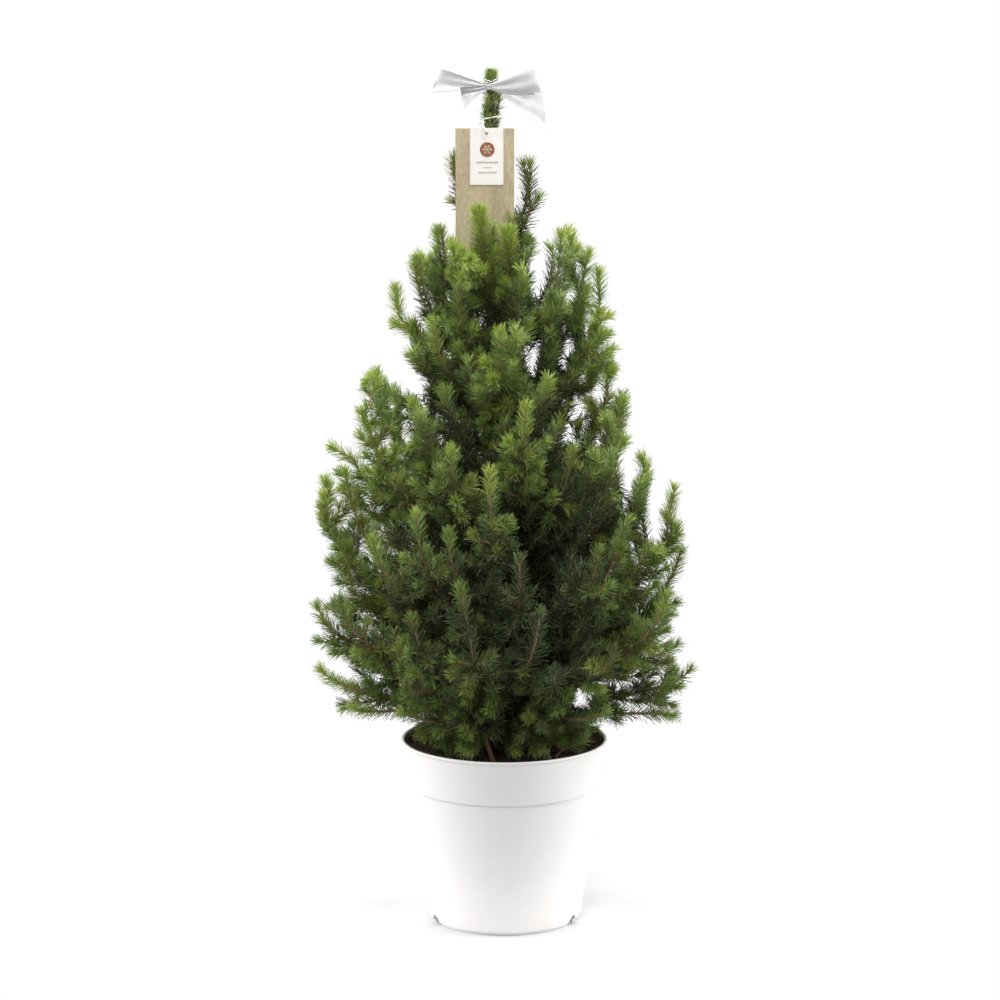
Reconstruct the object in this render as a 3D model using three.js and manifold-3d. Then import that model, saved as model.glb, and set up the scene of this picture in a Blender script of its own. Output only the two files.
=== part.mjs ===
// Potted dwarf Alberta spruce, in millimetres, +Z up.
// The origin is the middle of the pot's underside, and the front of the plant faces -Y.
// A bearing is in degrees round the trunk: 0 is the front, 90 is +X, 180 is the back.
import * as THREE from "three";
import { mergeVertices } from "three/addons/utils/BufferGeometryUtils.js";
import Module from "manifold-3d";

const wasm = await Module();
wasm.setup();

// ---- pot ----
const POT_HEIGHT = 168;
const RIM_RADIUS = 95;
const FOOT_RADIUS = 71;
const WALL = 2;
const COLLAR_DROP = 42;      // the collar's lower edge, below the rim
const COLLAR_STEP = 2;       // how far the collar stands out
const LIP_HEIGHT = 4;
const LIP_STEP = 1.6;
const PAD_RADIUS = 30;       // flat pad in the middle of the underside
const FOOT_WIDTH = 5;
const UNDERCUT = 5;          // the channel between the pad and the foot ring
const CHANNEL_SLOPE = 3;
const NOTCH_WIDTH = 11;
const NOTCH_HEIGHT = 9;
const NOTCH_BEARINGS = [-62, 62, 180];
const ROUND_SEGMENTS = 24;

// ---- soil ----
const SOIL_LEVEL = 158;
const SOIL_SWELL = 3;
const SOIL_RINGS = [76, 22];

// ---- trunk ----
const TREE_TOP = 777;
const TRUNK_TOP = 768;
const TRUNK_RADIUS = 9;
const TRUNK_TIP_RADIUS = 1.4;
const FLARE = 6;             // extra radius where the trunk meets the soil
const FLARE_HEIGHT = 30;
const FOOT_OFFSET = 3;       // the trunk leans from here on +X
const TOP_OFFSET = -11;      // to here at its tip
const WANDER = 3;
const TRUNK_SIDES = 10;
const TRUNK_STATIONS = [0, 5, 14, 30, 80, 150, 240, 340, 440, 530, TRUNK_TOP - SOIL_LEVEL];
const BUTTRESS = 0.18;       // how uneven the flare is, over the first stations

// ---- thin stem that comes up through the soil in front of the trunk ----
const STEM_FOOT = new THREE.Vector3(-10, -58, SOIL_LEVEL - 3);
const STEM_TOP = new THREE.Vector3(-24, -66, 214);
const STEM_RADIUS = 2.6;
const STEM_TIP_RADIUS = 1.8;
const STEM_RISE = 0.7;

// ---- limbs and masses ----
const GAP = 0.3;             // clearance that touching pieces keep
const SKIN = 0.55;           // how much larger a mass's cutter is, so facets still clear by the gap
const LIMB_SIDES = 5;
const BOUGH_RADIUS = 4.2;
const BOUGH_TIP_RADIUS = 2.6;
const BEND = 0.85;           // limbs turn up this far out along their reach
const BOUGH_RISE = 0.6;
const SOCKET = 7;            // how far a bough reaches into its mass
const MASS_SIDES = 5;
const MASS_STATIONS = [0, 0.32, 0.66, 0.92];
const SIDE_STATIONS = [0, 0.5, 0.9];
const SPREAD = 1.05;         // masses are a little wider than they are deep
const UNEVEN = 0.16;
const SIDE_SPIRE = 0.86;     // girth of a mass's second and third spires, to its first

// ---- the leader's brush round the top of the trunk ----
const LEADER_STATIONS = [610, 650, 690, 730, 760, 771];
const LEADER_SIDES = 8;
const LEADER_GIRTH = 15;
const LEADER_TIP_GIRTH = 8;
const LEADER_UNEVEN = 0.12;

const COLOURS = {
  pot: 0xf1f0ee, soil: 0x2a211b, bark: 0x6d5340,
  leader: 0x6f8f3c, high: 0x5c7f35, middle: 0x4b6d30, low: 0x3b5a2b, skirt: 0x33502a,
};

// Each mass: its name, the height where its limb leaves the trunk, its girth (a radius), and the
// tips of its spires as [bearing, reach, height]. A tier with a hold has bare boughs out to there,
// which climb by their slope; in the other tiers the foliage hides each limb right to the trunk.
const TIERS = [
  { colour: "high", rise: 0.3, hold: 0, masses: [
    ["top_left", 600, 14, [[-98, 45, 705]]],
    ["top_right", 590, 14, [[88, 26, 700]]],
    ["top_front", 540, 20, [[-24, 48, 656], [8, 44, 638]]],
    ["top_back", 545, 21, [[202, 52, 652], [166, 60, 614]]],
    ["upper_left", 500, 20, [[-92, 60, 640], [-78, 82, 614]]],
    ["upper_right", 440, 19, [[58, 62, 639], [86, 79, 620], [98, 94, 589]]],
    ["upper_front_left", 470, 23, [[-44, 68, 604], [-66, 76, 560]]],
    ["upper_front", 430, 27, [[-3, 80, 556], [24, 56, 562]]],
    ["upper_far_left", 430, 21, [[-94, 103, 587], [-88, 117, 518]]],
    ["upper_back_left", 440, 29, [[217, 96, 590], [186, 95, 570]]],
    ["upper_back_right", 440, 29, [[141, 100, 562], [116, 88, 584]]],
  ] },
  { colour: "middle", rise: 0.24, hold: 0, masses: [
    ["mid_left", 335, 28, [[-77, 134, 481], [-92, 150, 446]]],
    ["mid_front", 345, 30, [[10, 112, 494], [34, 114, 452]]],
    ["mid_front_left", 340, 30, [[-24, 120, 456], [-50, 110, 492]]],
    ["mid_right", 338, 29, [[82, 99, 521], [88, 113, 486]]],
    ["mid_far_right", 300, 28, [[92, 128, 428], [66, 124, 446]]],
    ["mid_back_left", 335, 33, [[230, 134, 472], [256, 128, 440]]],
    ["mid_back", 330, 33, [[193, 130, 452]]],
    ["mid_back_right", 335, 33, [[158, 134, 460], [124, 134, 452]]],
  ] },
  { colour: "low", rise: 0.2, hold: 0, masses: [
    ["lower_left", 244, 29, [[-91, 172, 387], [-82, 150, 424]]],
    ["lower_front_left", 250, 31, [[-34, 144, 400], [-53, 152, 372]]],
    ["lower_front", 262, 30, [[-6, 132, 440], [-20, 148, 386]]],
    ["lower_front_middle", 235, 30, [[5, 150, 366], [-15, 156, 340]]],
    ["lower_front_right", 240, 31, [[36, 146, 367], [52, 144, 402]]],
    ["lower_right", 250, 31, [[88, 160, 405], [74, 148, 378]]],
    ["lower_far_right", 216, 27, [[92, 168, 345]]],
    ["lower_back_left", 240, 35, [[224, 166, 380], [252, 168, 352]]],
    ["lower_back", 236, 35, [[196, 164, 370], [168, 165, 362]]],
    ["lower_back_right", 240, 35, [[136, 165, 382], [112, 165, 350]]],
  ] },
  { colour: "low", rise: 0.16, hold: 56, slope: 0.55, masses: [
    ["bottom_left", 200, 28, [[-93, 179, 292], [-64, 168, 316]]],
    ["bottom_front_left", 194, 30, [[-34, 152, 310], [-42, 138, 236]]],
    ["bottom_front", 190, 30, [[-12, 152, 300], [13, 150, 320]]],
    ["bottom_front_right", 196, 29, [[38, 148, 292], [17, 152, 264]]],
    ["bottom_right", 202, 28, [[71, 160, 316], [92, 166, 256]]],
    ["bottom_back_left", 200, 34, [[224, 162, 290], [250, 166, 262]]],
    ["bottom_back", 192, 34, [[190, 164, 282], [164, 160, 290]]],
    ["bottom_back_right", 198, 34, [[132, 162, 274], [108, 164, 300]]],
  ] },
  { colour: "skirt", rise: 0.5, hold: 54, slope: 0.12, masses: [
    ["skirt_left", 190, 18, [[-86, 175, 236], [-70, 150, 207]]],
    ["skirt_right", 190, 18, [[91, 178, 233], [74, 160, 199]]],
    ["skirt_front_left", 186, 24, [[-20, 112, 200], [-50, 128, 212]]],
    ["skirt_front_right", 192, 24, [[18, 114, 204], [48, 130, 214]]],
    ["skirt_back", 188, 24, [[206, 146, 220], [154, 146, 224]]],
  ] },
];

// ---- helpers ----
const radians = (degrees) => THREE.MathUtils.degToRad(degrees);
const outward = (bearing) =>
  new THREE.Vector3(Math.sin(radians(bearing)), -Math.cos(radians(bearing)), 0);

// The same number in -1..1 for the same three whole numbers, so each mass is uneven its own way.
function ripple(mass, station, side) {
  const value = Math.sin(mass * 12.9898 + station * 78.233 + side * 37.719) * 43758.5453;
  return 2 * (value - Math.floor(value)) - 1;
}

function trunkAxis(height) {
  const t = (height - SOIL_LEVEL) / (TRUNK_TOP - SOIL_LEVEL);
  const lean = THREE.MathUtils.lerp(FOOT_OFFSET, TOP_OFFSET, t);
  return new THREE.Vector3(lean + WANDER * Math.sin(6 * t), WANDER * Math.sin(4.5 * t), height);
}

function trunkRadius(height) {
  const t = Math.max(0, (height - SOIL_LEVEL) / (TRUNK_TOP - SOIL_LEVEL));
  const flare = FLARE * Math.exp((SOIL_LEVEL - height) / (FLARE_HEIGHT / 3));
  return THREE.MathUtils.lerp(TRUNK_RADIUS, TRUNK_TIP_RADIUS, t ** 0.85) + flare;
}

// A closed skin over rings of points, closed at each end by a fan on one more point.
function skin(rings, first, last) {
  const sides = rings[0].length;
  const points = [first, ...rings.flat(), last];
  const index = [];
  const at = (ring, side) => 1 + ring * sides + (side % sides);
  for (let side = 0; side < sides; side++) {
    index.push(0, at(0, side + 1), at(0, side));
    for (let ring = 0; ring + 1 < rings.length; ring++) {
      index.push(at(ring, side), at(ring, side + 1), at(ring + 1, side + 1));
      index.push(at(ring, side), at(ring + 1, side + 1), at(ring + 1, side));
    }
    index.push(at(rings.length - 1, side), at(rings.length - 1, side + 1), points.length - 1);
  }
  const geometry = new THREE.BufferGeometry().setFromPoints(points);
  geometry.setIndex(index);
  return geometry;
}

function toSolid(geometry) {
  const bare = geometry.clone();
  bare.deleteAttribute("normal");
  bare.deleteAttribute("uv");
  const merged = mergeVertices(bare, 1e-4);
  return new wasm.Manifold(new wasm.Mesh({
    numProp: 3,
    vertProperties: new Float32Array(merged.attributes.position.array),
    triVerts: new Uint32Array(merged.index.array),
  }));
}

function toGeometry(solid) {
  const mesh = solid.getMesh();
  const geometry = new THREE.BufferGeometry();
  geometry.setAttribute("position", new THREE.BufferAttribute(mesh.vertProperties, 3));
  geometry.setIndex(new THREE.BufferAttribute(mesh.triVerts, 1));
  geometry.computeVertexNormals();
  return geometry;
}

function boxesMeet(a, b) {
  const p = a.boundingBox();
  const q = b.boundingBox();
  return [0, 1, 2].every((i) => p.min[i] < q.max[i] && q.min[i] < p.max[i]);
}

// Cuts each neighbour away and keeps the largest piece that is left.
function fitRound(solid, neighbours) {
  let left = solid;
  for (const neighbour of neighbours) {
    if (boxesMeet(left, neighbour)) left = left.subtract(neighbour);
  }
  const pieces = left.decompose();
  return pieces.reduce((best, piece) => (piece.volume() > best.volume() ? piece : best));
}

// ---- pot and soil ----
function potWallRadius(height) {
  const slope = (RIM_RADIUS - LIP_STEP - COLLAR_STEP - FOOT_RADIUS) / POT_HEIGHT;
  return FOOT_RADIUS + slope * height;
}

function turned(profile) {
  const points = profile.map(([radius, height]) => new THREE.Vector2(radius, height));
  return new THREE.LatheGeometry(points, ROUND_SEGMENTS).rotateX(Math.PI / 2);
}

function potOutside() {
  const collar = POT_HEIGHT - COLLAR_DROP;
  const lip = POT_HEIGHT - LIP_HEIGHT;
  const foot = FOOT_RADIUS - FOOT_WIDTH;
  return [
    [0, 0], [PAD_RADIUS, 0], [PAD_RADIUS + CHANNEL_SLOPE, UNDERCUT],
    [foot - CHANNEL_SLOPE, UNDERCUT], [foot, 0],
    [FOOT_RADIUS, 0], [potWallRadius(collar), collar],
    [potWallRadius(collar) + COLLAR_STEP, collar + COLLAR_STEP],
    [potWallRadius(lip) + COLLAR_STEP, lip], [RIM_RADIUS, lip + LIP_STEP], [RIM_RADIUS, POT_HEIGHT - 1],
    [RIM_RADIUS - 1, POT_HEIGHT],
  ];
}

// The inside of the pot from its rim down to the middle of its floor, drawn in by a clearance.
function potInside(clearance, top) {
  const floor = UNDERCUT + WALL + clearance;
  const inner = (height) => potWallRadius(height) - WALL - clearance;
  return [
    [inner(top), top], [inner(floor), floor], [PAD_RADIUS + WALL - clearance, floor],
    [PAD_RADIUS - clearance - 1, WALL + clearance], [0, WALL + clearance],
  ];
}

function drainNotch(bearing) {
  const half = NOTCH_WIDTH / 2;
  const arch = new THREE.Shape();
  arch.moveTo(-half, -1);
  arch.lineTo(half, -1);
  arch.lineTo(half, NOTCH_HEIGHT - half);
  arch.absarc(0, NOTCH_HEIGHT - half, half, 0, Math.PI);
  const length = 4 * FOOT_WIDTH;
  const geometry = new THREE.ExtrudeGeometry(arch, { depth: length, bevelEnabled: false, curveSegments: 6 });
  geometry.rotateX(Math.PI / 2);
  geometry.translate(0, -(FOOT_RADIUS - length / 2), 0);
  return geometry.rotateZ(radians(bearing));
}

function makePot() {
  const shell = toSolid(turned([...potOutside(), ...potInside(0, POT_HEIGHT)]));
  return fitRound(shell, NOTCH_BEARINGS.map((bearing) => toSolid(drainNotch(bearing))));
}

function soilHeight(radius, bearing) {
  const level = SOIL_SWELL * Math.sin(radius / 17) * Math.sin(2 * bearing + radius / 30);
  return SOIL_LEVEL + level * THREE.MathUtils.smoothstep(radius, 24, 40);
}

// Soil from the pot's floor to its own uneven top, which is level under the trunk.
function makeSoil() {
  const under = potInside(GAP, SOIL_LEVEL - SOIL_SWELL).slice(0, 2).reverse();
  const ring = (radius, heightAt) => Array.from({ length: ROUND_SEGMENTS }, (_, i) => {
    const angle = (i / ROUND_SEGMENTS) * 2 * Math.PI;
    return new THREE.Vector3(radius * Math.sin(angle), -radius * Math.cos(angle), heightAt(angle));
  });
  const rings = [
    ...under.map(([radius, height]) => ring(radius, () => height)),
    ...SOIL_RINGS.map((radius) => ring(radius, (angle) => soilHeight(radius, angle))),
  ];
  const bottom = new THREE.Vector3(0, 0, under[0][1]);
  return toSolid(skin(rings, bottom, new THREE.Vector3(0, 0, SOIL_LEVEL)));
}

// ---- trunk, stems and boughs ----
function makeTrunk(clearance) {
  const heights = TRUNK_STATIONS
    .map((height) => SOIL_LEVEL + GAP + height - (height === 0 ? clearance : 0));
  const rings = heights.map((height, station) => {
    const centre = trunkAxis(height);
    return Array.from({ length: TRUNK_SIDES }, (_, side) => {
      const bearing = (side / TRUNK_SIDES) * 360;
      const buttress = station < 3 ? 1 + BUTTRESS * Math.sin(radians(bearing * 3 + 40)) : 1;
      const radius = trunkRadius(height) * buttress + clearance;
      return centre.clone().addScaledVector(outward(bearing), radius);
    });
  });
  const bottom = trunkAxis(heights[0]);
  const top = trunkAxis(TRUNK_TOP + GAP).add(new THREE.Vector3(0, 0, 1 + clearance));
  return toSolid(skin(rings, bottom, top));
}

// Rings of points across a curve, each squarely across it and none twisted against the next.
function ringsAlong(curve, stations, sides, radiusAt, spread = 1) {
  return stations.map((t, station) => {
    const centre = curve.getPointAt(t);
    const along = curve.getTangentAt(t);
    const wide = new THREE.Vector3(0, 0, 1).cross(along).normalize();
    const deep = along.clone().cross(wide).normalize();
    return Array.from({ length: sides }, (_, side) => {
      const angle = (side / sides) * 2 * Math.PI;
      const radius = radiusAt(t, station, side);
      return centre.clone()
        .addScaledVector(wide, radius * spread * Math.cos(angle))
        .addScaledVector(deep, radius * Math.sin(angle));
    });
  });
}

// A limb that leaves its start flat and sweeps up to its end.
function sweep(start, end, rise) {
  const bend = new THREE.Vector3().lerpVectors(start, end, BEND);
  bend.z = THREE.MathUtils.lerp(start.z, end.z, rise);
  return new THREE.QuadraticBezierCurve3(start, bend, end);
}

// Moves every point of a ring along a direction, so that a cutter's ends clear as its sides do.
function slide(ring, along, distance) {
  ring.forEach((point) => point.addScaledVector(along, distance));
}

function limb(curve, startRadius, endRadius, clearance) {
  const radiusAt = (t) => THREE.MathUtils.lerp(startRadius, endRadius, t) + clearance;
  const rings = ringsAlong(curve, [0, 0.5, 1], LIMB_SIDES, radiusAt);
  const along = curve.getTangentAt(1);
  slide(rings.at(-1), along, clearance);
  const last = curve.getPointAt(1).addScaledVector(along, clearance + 0.5);
  return toSolid(skin(rings, curve.getPointAt(0), last));
}

function makeStem(clearance) {
  return limb(sweep(STEM_FOOT, STEM_TOP, STEM_RISE), STEM_RADIUS, STEM_TIP_RADIUS, clearance);
}

// ---- masses of foliage ----
// A mass is slim where it starts, fullest past a third of its length, and blunt near its tip.
const fullness = (t) => THREE.MathUtils.lerp(0.12, 0.3, t) + 0.78 * Math.sin(Math.PI * t ** 0.85);

function makeMass(mass, number, rise, clearance) {
  let whole = null;
  mass.tips.forEach(([bearing, reach, height], spire) => {
    const end = outward(bearing).multiplyScalar(reach).setZ(height);
    const curve = sweep(mass.start, end, rise);
    const girth = mass.girth * (spire === 0 ? 1 : SIDE_SPIRE);
    const radiusAt = (t, station, side) =>
      girth * fullness(t) * (1 + UNEVEN * ripple(number + 7 * spire, station, side)) + clearance;
    const stations = spire === 0 ? MASS_STATIONS : SIDE_STATIONS;
    const rings = ringsAlong(curve, stations, MASS_SIDES, radiusAt, SPREAD);
    slide(rings[0], curve.getTangentAt(0), -clearance);
    slide(rings.at(-1), curve.getTangentAt(1), clearance);
    const first = mass.start.clone().addScaledVector(curve.getTangentAt(0), -3 - clearance);
    const last = end.clone().addScaledVector(curve.getTangentAt(1), 2 * clearance);
    const solid = toSolid(skin(rings, first, last));
    whole = whole ? whole.add(solid) : solid;
  });
  return whole;
}

function makeLeader(clearance) {
  const rings = LEADER_STATIONS.map((height, station) => {
    const centre = trunkAxis(Math.min(height, TRUNK_TOP));
    centre.z = height;
    const t = station / (LEADER_STATIONS.length - 1);
    const slim = THREE.MathUtils.lerp(LEADER_GIRTH, LEADER_TIP_GIRTH, t);
    return Array.from({ length: LEADER_SIDES }, (_, side) => {
      const radius = slim * (1 + LEADER_UNEVEN * ripple(99, station, side)) + clearance;
      return centre.clone().addScaledVector(outward((side / LEADER_SIDES) * 360), radius);
    });
  });
  slide(rings[0], new THREE.Vector3(0, 0, 1), -clearance);
  const bottom = trunkAxis(LEADER_STATIONS[0]).add(new THREE.Vector3(0, 0, -2 - clearance));
  const top = trunkAxis(TRUNK_TOP).setZ(TREE_TOP + clearance);
  return toSolid(skin(rings, bottom, top));
}

// ---- assembly ----
const spruce = new THREE.Group();

function addPiece(name, solid, colour, roughness = 0.85) {
  const material = new THREE.MeshStandardMaterial({ color: colour, roughness, metalness: 0 });
  const mesh = new THREE.Mesh(toGeometry(solid), material);
  mesh.name = name;
  spruce.add(mesh);
}

// Foliage stays above the pot's rim, as over a plain disc of the same size.
const potBlank = toSolid(turned([
  [0, 0], [FOOT_RADIUS, 0], [RIM_RADIUS + 1, POT_HEIGHT + GAP], [0, POT_HEIGHT + GAP]]));
const soil = makeSoil();
addPiece("pot", makePot(), COLOURS.pot, 0.35);
addPiece("soil", soil, COLOURS.soil, 0.95);
addPiece("trunk", makeTrunk(0), COLOURS.bark);

const trunkBlank = makeTrunk(GAP + 0.1);
const stemBlank = makeStem(GAP + 0.1);
const soilCutter = soil.translate([0, 0, GAP]);
addPiece("stem_front", fitRound(makeStem(0), [soilCutter, trunkBlank]), COLOURS.bark);

// Every mass with its start: on the trunk, or at the end of the bough that holds it.
const rows = TIERS.flatMap(({ masses, hold, slope = 0, ...tier }) =>
  masses.map(([name, from, girth, tips]) => {
    const start = trunkAxis(from).addScaledVector(outward(tips[0][0]), hold);
    start.z += hold * slope;
    return { name, from, girth, tips, start, hasBough: hold > 0, ...tier };
  }));

const boughBlanks = [];
for (const row of rows.filter((each) => each.hasBough)) {
  const inside = row.start.clone().sub(trunkAxis(row.from)).setLength(SOCKET);
  const curve = sweep(trunkAxis(row.from), row.start.clone().add(inside), BOUGH_RISE);
  const solid = limb(curve, BOUGH_RADIUS, BOUGH_TIP_RADIUS, 0);
  addPiece(`bough_${row.name}`, fitRound(solid, [trunkBlank, ...boughBlanks]), COLOURS.bark);
  boughBlanks.push(limb(curve, BOUGH_RADIUS, BOUGH_TIP_RADIUS, GAP + 0.1));
}

const fixed = [trunkBlank, stemBlank, ...boughBlanks, potBlank];
addPiece("mass_leader", fitRound(makeLeader(0), [trunkBlank]), COLOURS.leader);
const taken = [makeLeader(SKIN)];
rows.forEach((row, number) => {
  const solid = fitRound(makeMass(row, number, row.rise, 0), [...taken, ...fixed]);
  addPiece(`mass_${row.name}`, solid, COLOURS[row.colour]);
  taken.push(makeMass(row, number, row.rise, SKIN));
});

export default spruce;
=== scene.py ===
"""A potted dwarf Alberta spruce with a bow and a hang tag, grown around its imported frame."""
import math
import random
from itertools import product

import bmesh
import bpy
import numpy as np
from bpy.props import FloatProperty, FloatVectorProperty, IntProperty, PointerProperty
from mathutils import Matrix, Vector


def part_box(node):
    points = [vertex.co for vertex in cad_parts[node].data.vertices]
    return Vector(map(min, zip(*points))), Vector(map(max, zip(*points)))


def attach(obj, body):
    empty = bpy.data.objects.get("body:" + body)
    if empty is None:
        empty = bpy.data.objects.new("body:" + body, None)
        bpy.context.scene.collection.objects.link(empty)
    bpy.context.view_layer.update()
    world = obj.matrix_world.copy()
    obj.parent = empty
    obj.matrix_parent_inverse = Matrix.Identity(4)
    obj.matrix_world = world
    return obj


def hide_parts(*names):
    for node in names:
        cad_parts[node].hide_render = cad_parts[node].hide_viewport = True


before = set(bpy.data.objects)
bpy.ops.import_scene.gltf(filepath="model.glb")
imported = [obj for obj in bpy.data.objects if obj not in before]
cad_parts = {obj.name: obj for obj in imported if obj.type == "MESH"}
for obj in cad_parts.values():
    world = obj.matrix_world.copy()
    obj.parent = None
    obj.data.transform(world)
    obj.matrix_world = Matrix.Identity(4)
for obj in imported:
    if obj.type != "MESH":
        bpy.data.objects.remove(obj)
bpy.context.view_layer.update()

bl_info = {
    "name": "Potted Dwarf Spruce",
    "version": (1, 0, 0),
    "blender": (4, 5, 0),
    "location": "View3D > Sidebar > Spruce",
    "description": "Grows a potted dwarf spruce with a bow and a hang tag around its frame",
    "category": "Object",
}

POT_LOW, POT_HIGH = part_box("pot")
SOIL_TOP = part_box("soil")[1].z
TREE_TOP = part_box("mass_leader")[1].z
GOLDEN = math.radians(137.508)
UP = Vector((0, 0, 1))
MM = 0.001
MOST_FACES = 190000


# ---------------------------------------------------------------- settings
def length_setting(name, description, default):
    return FloatProperty(name=name, description=description, default=default, unit="LENGTH")


def colour_setting(name, description, default):
    return FloatVectorProperty(
        name=name, description=description, default=default, subtype="COLOR", size=3)


class PotSettings(bpy.types.PropertyGroup):
    rim_radius: length_setting("Rim radius", "Outer radius of the rolled rim", POT_HIGH.x)
    height: length_setting("Height", "Height of the pot", POT_HIGH.z)
    foot_radius: length_setting("Foot radius", "Outer radius at the foot", 0.071)
    wall: length_setting("Wall", "Thickness of the moulded wall", 0.0018)
    collar: length_setting("Collar", "Depth of the stepped collar", 0.042)
    colour: colour_setting("Colour", "Colour of the plastic", (0.872, 0.848, 0.834))


class FoliageSettings(bpy.types.PropertyGroup):
    seed: IntProperty(name="Seed", description="Seed of the branching", default=7)
    tip_spacing: length_setting(
        "Tip spacing", "Least distance between the tips of the shoots", 0.0100)
    twig_spacing: length_setting(
        "Twig spacing", "Distance along a shoot from twig to twig", 0.0065)
    inside_spacing: length_setting(
        "Inner shoot spacing", "Rise along the trunk from one inner shoot to the next", 0.0035)
    low_shoots: IntProperty(
        name="Low shoots", description="Number of shoots that droop over the soil", default=118)
    needle_length: length_setting("Needle length", "Length of a full needle", 0.0122)
    needle_width: length_setting("Needle width", "Width of a needle", 0.00066)
    # The tip colour is partly the new growth's own lime green and partly painted light, given to tips that
    # stand high and far out.
    tip_colour: colour_setting("Tip colour", "Colour of the newest needles", (0.355, 0.440, 0.088))
    # The colour of the innermost needles is painted shade.
    shade_colour: colour_setting(
        "Shade colour", "Colour of the innermost needles", (0.065, 0.086, 0.036))


class BowSettings(bpy.types.PropertyGroup):
    drop: length_setting("Drop", "How far the knot sits below the tip of the tree", 0.016)


class TagSettings(bpy.types.PropertyGroup):
    width: length_setting("Width", "Width of the card", 0.052)
    height: length_setting("Height", "Height of the card", 0.130)
    drop: length_setting(
        "Drop", "How far the card's top edge hangs below the tip of the tree", 0.052)
    label_shift: length_setting(
        "Label shift", "How far the label sits right of the card's middle", 0.0017)


class StageSettings(bpy.types.PropertyGroup):
    distance: length_setting(
        "Camera distance", "How far in front of the pot the camera stands", 2.6)
    height: length_setting("Camera height", "Height of the camera", 0.815)
    tilt: FloatProperty(
        name="Camera tilt", description="How far the camera looks down", subtype="ANGLE",
        default=math.radians(9.3))
    lens: FloatProperty(name="Lens", description="Focal length in millimetres", default=104.4)


def settings(name):
    return getattr(bpy.context.scene, "spruce_" + name)


# ---------------------------------------------------------------- building help
def way_at(bearing):
    """The level direction at a bearing, which is zero towards the front."""
    return Vector((math.sin(bearing), -math.cos(bearing), 0))


def band(a, b, count, turned=False):
    """The faces between two closed rows of points, which start at a and at b."""
    faces = [(a + k, b + k, b + (k + 1) % count, a + (k + 1) % count) for k in range(count)]
    return [(p, s, r, q) for p, q, r, s in faces] if turned else faces


def mesh_from(name, points, faces):
    mesh = bpy.data.meshes.new(name)
    mesh.from_pydata([tuple(p) for p in points], [], faces)
    mesh.update()
    return mesh


def recalculate(mesh):
    """Joins doubled points and turns every face outwards."""
    work = bmesh.new()
    work.from_mesh(mesh)
    bmesh.ops.remove_doubles(work, verts=work.verts, dist=1e-6)
    bmesh.ops.recalc_face_normals(work, faces=work.faces)
    work.to_mesh(mesh)
    work.free()
    return mesh


def smooth(obj):
    for polygon in obj.data.polygons:
        polygon.use_smooth = True


def add_object(name, mesh, paint=None):
    obj = bpy.data.objects.new(name, mesh)
    bpy.context.scene.collection.objects.link(obj)
    if paint is not None:
        mesh.materials.clear()
        mesh.materials.append(paint)
    return obj


def finish_piece(obj, slot, *nodes):
    """The piece rides with the plant and stands for CAD nodes, which it hides; the slot is not used."""
    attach(obj, "root")
    if nodes:
        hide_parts(*nodes)
    return obj


def add_piece(name, mesh, paint, slot, *nodes, soft=True):
    obj = add_object(name, mesh, paint)
    if soft:
        smooth(obj)
    return finish_piece(obj, slot, *nodes)


def evaluated_mesh(obj):
    return bpy.data.meshes.new_from_object(
        obj.evaluated_get(bpy.context.evaluated_depsgraph_get()))


def carve(obj, cutters, paint):
    """Cuts the shapes of the cutters out of an object, and clears the cutters away."""
    for cutter in cutters:
        modifier = obj.modifiers.new("cut", "BOOLEAN")
        modifier.object = cutter
        modifier.solver = "EXACT"
    mesh = evaluated_mesh(obj)
    obj.modifiers.clear()
    obj.data = mesh
    for cutter in cutters:
        bpy.data.objects.remove(cutter)
    mesh.materials.clear()
    mesh.materials.append(paint)


# ---------------------------------------------------------------- nodes
def node(tree, kind, inputs=None, **facts):
    """Adds a node. Inputs are values or sockets, by the name or number of the socket."""
    made = tree.nodes.new(kind)
    for name, value in facts.items():
        setattr(made, name, value)
    for key, value in (inputs or {}).items():
        socket = made.inputs[key]
        if isinstance(value, bpy.types.NodeSocket):
            tree.links.new(value, socket)
        else:
            socket.default_value = value
    return made


def maths(tree, operation, *values, **facts):
    return node(tree, "ShaderNodeMath", dict(enumerate(values)), operation=operation, **facts).outputs[0]


def mapped(tree, value, low, high, to_low=0.0, to_high=1.0, **facts):
    """The value moved from one range to another."""
    return node(tree, "ShaderNodeMapRange", {
        "Value": value, "From Min": low, "From Max": high, "To Min": to_low, "To Max": to_high},
        **facts).outputs["Result"]


def noise(tree, place, scale, detail, **more):
    return node(tree, "ShaderNodeTexNoise", {
        "Vector": place, "Scale": scale, "Detail": detail, **more}).outputs["Fac"]


def blended(tree, share, dark, light):
    return node(tree, "ShaderNodeMix", {"Factor": share, 6: dark, 7: light},
                data_type="RGBA").outputs[2]


def relief(tree, height, distance):
    return node(tree, "ShaderNodeBump", {"Height": height, "Distance": distance}).outputs["Normal"]


def new_tree(name, kind, inputs, outputs):
    """An empty node group with its named sockets, and the sockets that it is given."""
    tree = bpy.data.node_groups.new(name, kind)
    for way, sockets in (("INPUT", inputs), ("OUTPUT", outputs)):
        for label, sort in sockets.items():
            tree.interface.new_socket(label, in_out=way, socket_type="NodeSocket" + sort)
    return tree, tree.nodes.new("NodeGroupInput").outputs


def geometry_tree(name, **sockets):
    """A Geometry Nodes tree that turns a geometry into another, with the named inputs."""
    inputs = {label.replace("_", " "): kind for label, kind in sockets.items()}
    return new_tree(name, "GeometryNodeTree", {"Geometry": "Geometry", **inputs},
                    {"Geometry": "Geometry"})


def finish_tree(tree, geometry, paint):
    """Makes the instances real, gives them their material and puts them out."""
    real = node(tree, "GeometryNodeRealizeInstances", {0: geometry}).outputs[0]
    painted = node(tree, "GeometryNodeSetMaterial", {0: real, "Material": paint}).outputs[0]
    node(tree, "NodeGroupOutput", {0: painted})
    return tree


def attribute(tree, name):
    return node(tree, "GeometryNodeInputNamedAttribute", {"Name": name}, data_type="FLOAT").outputs[0]


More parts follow.
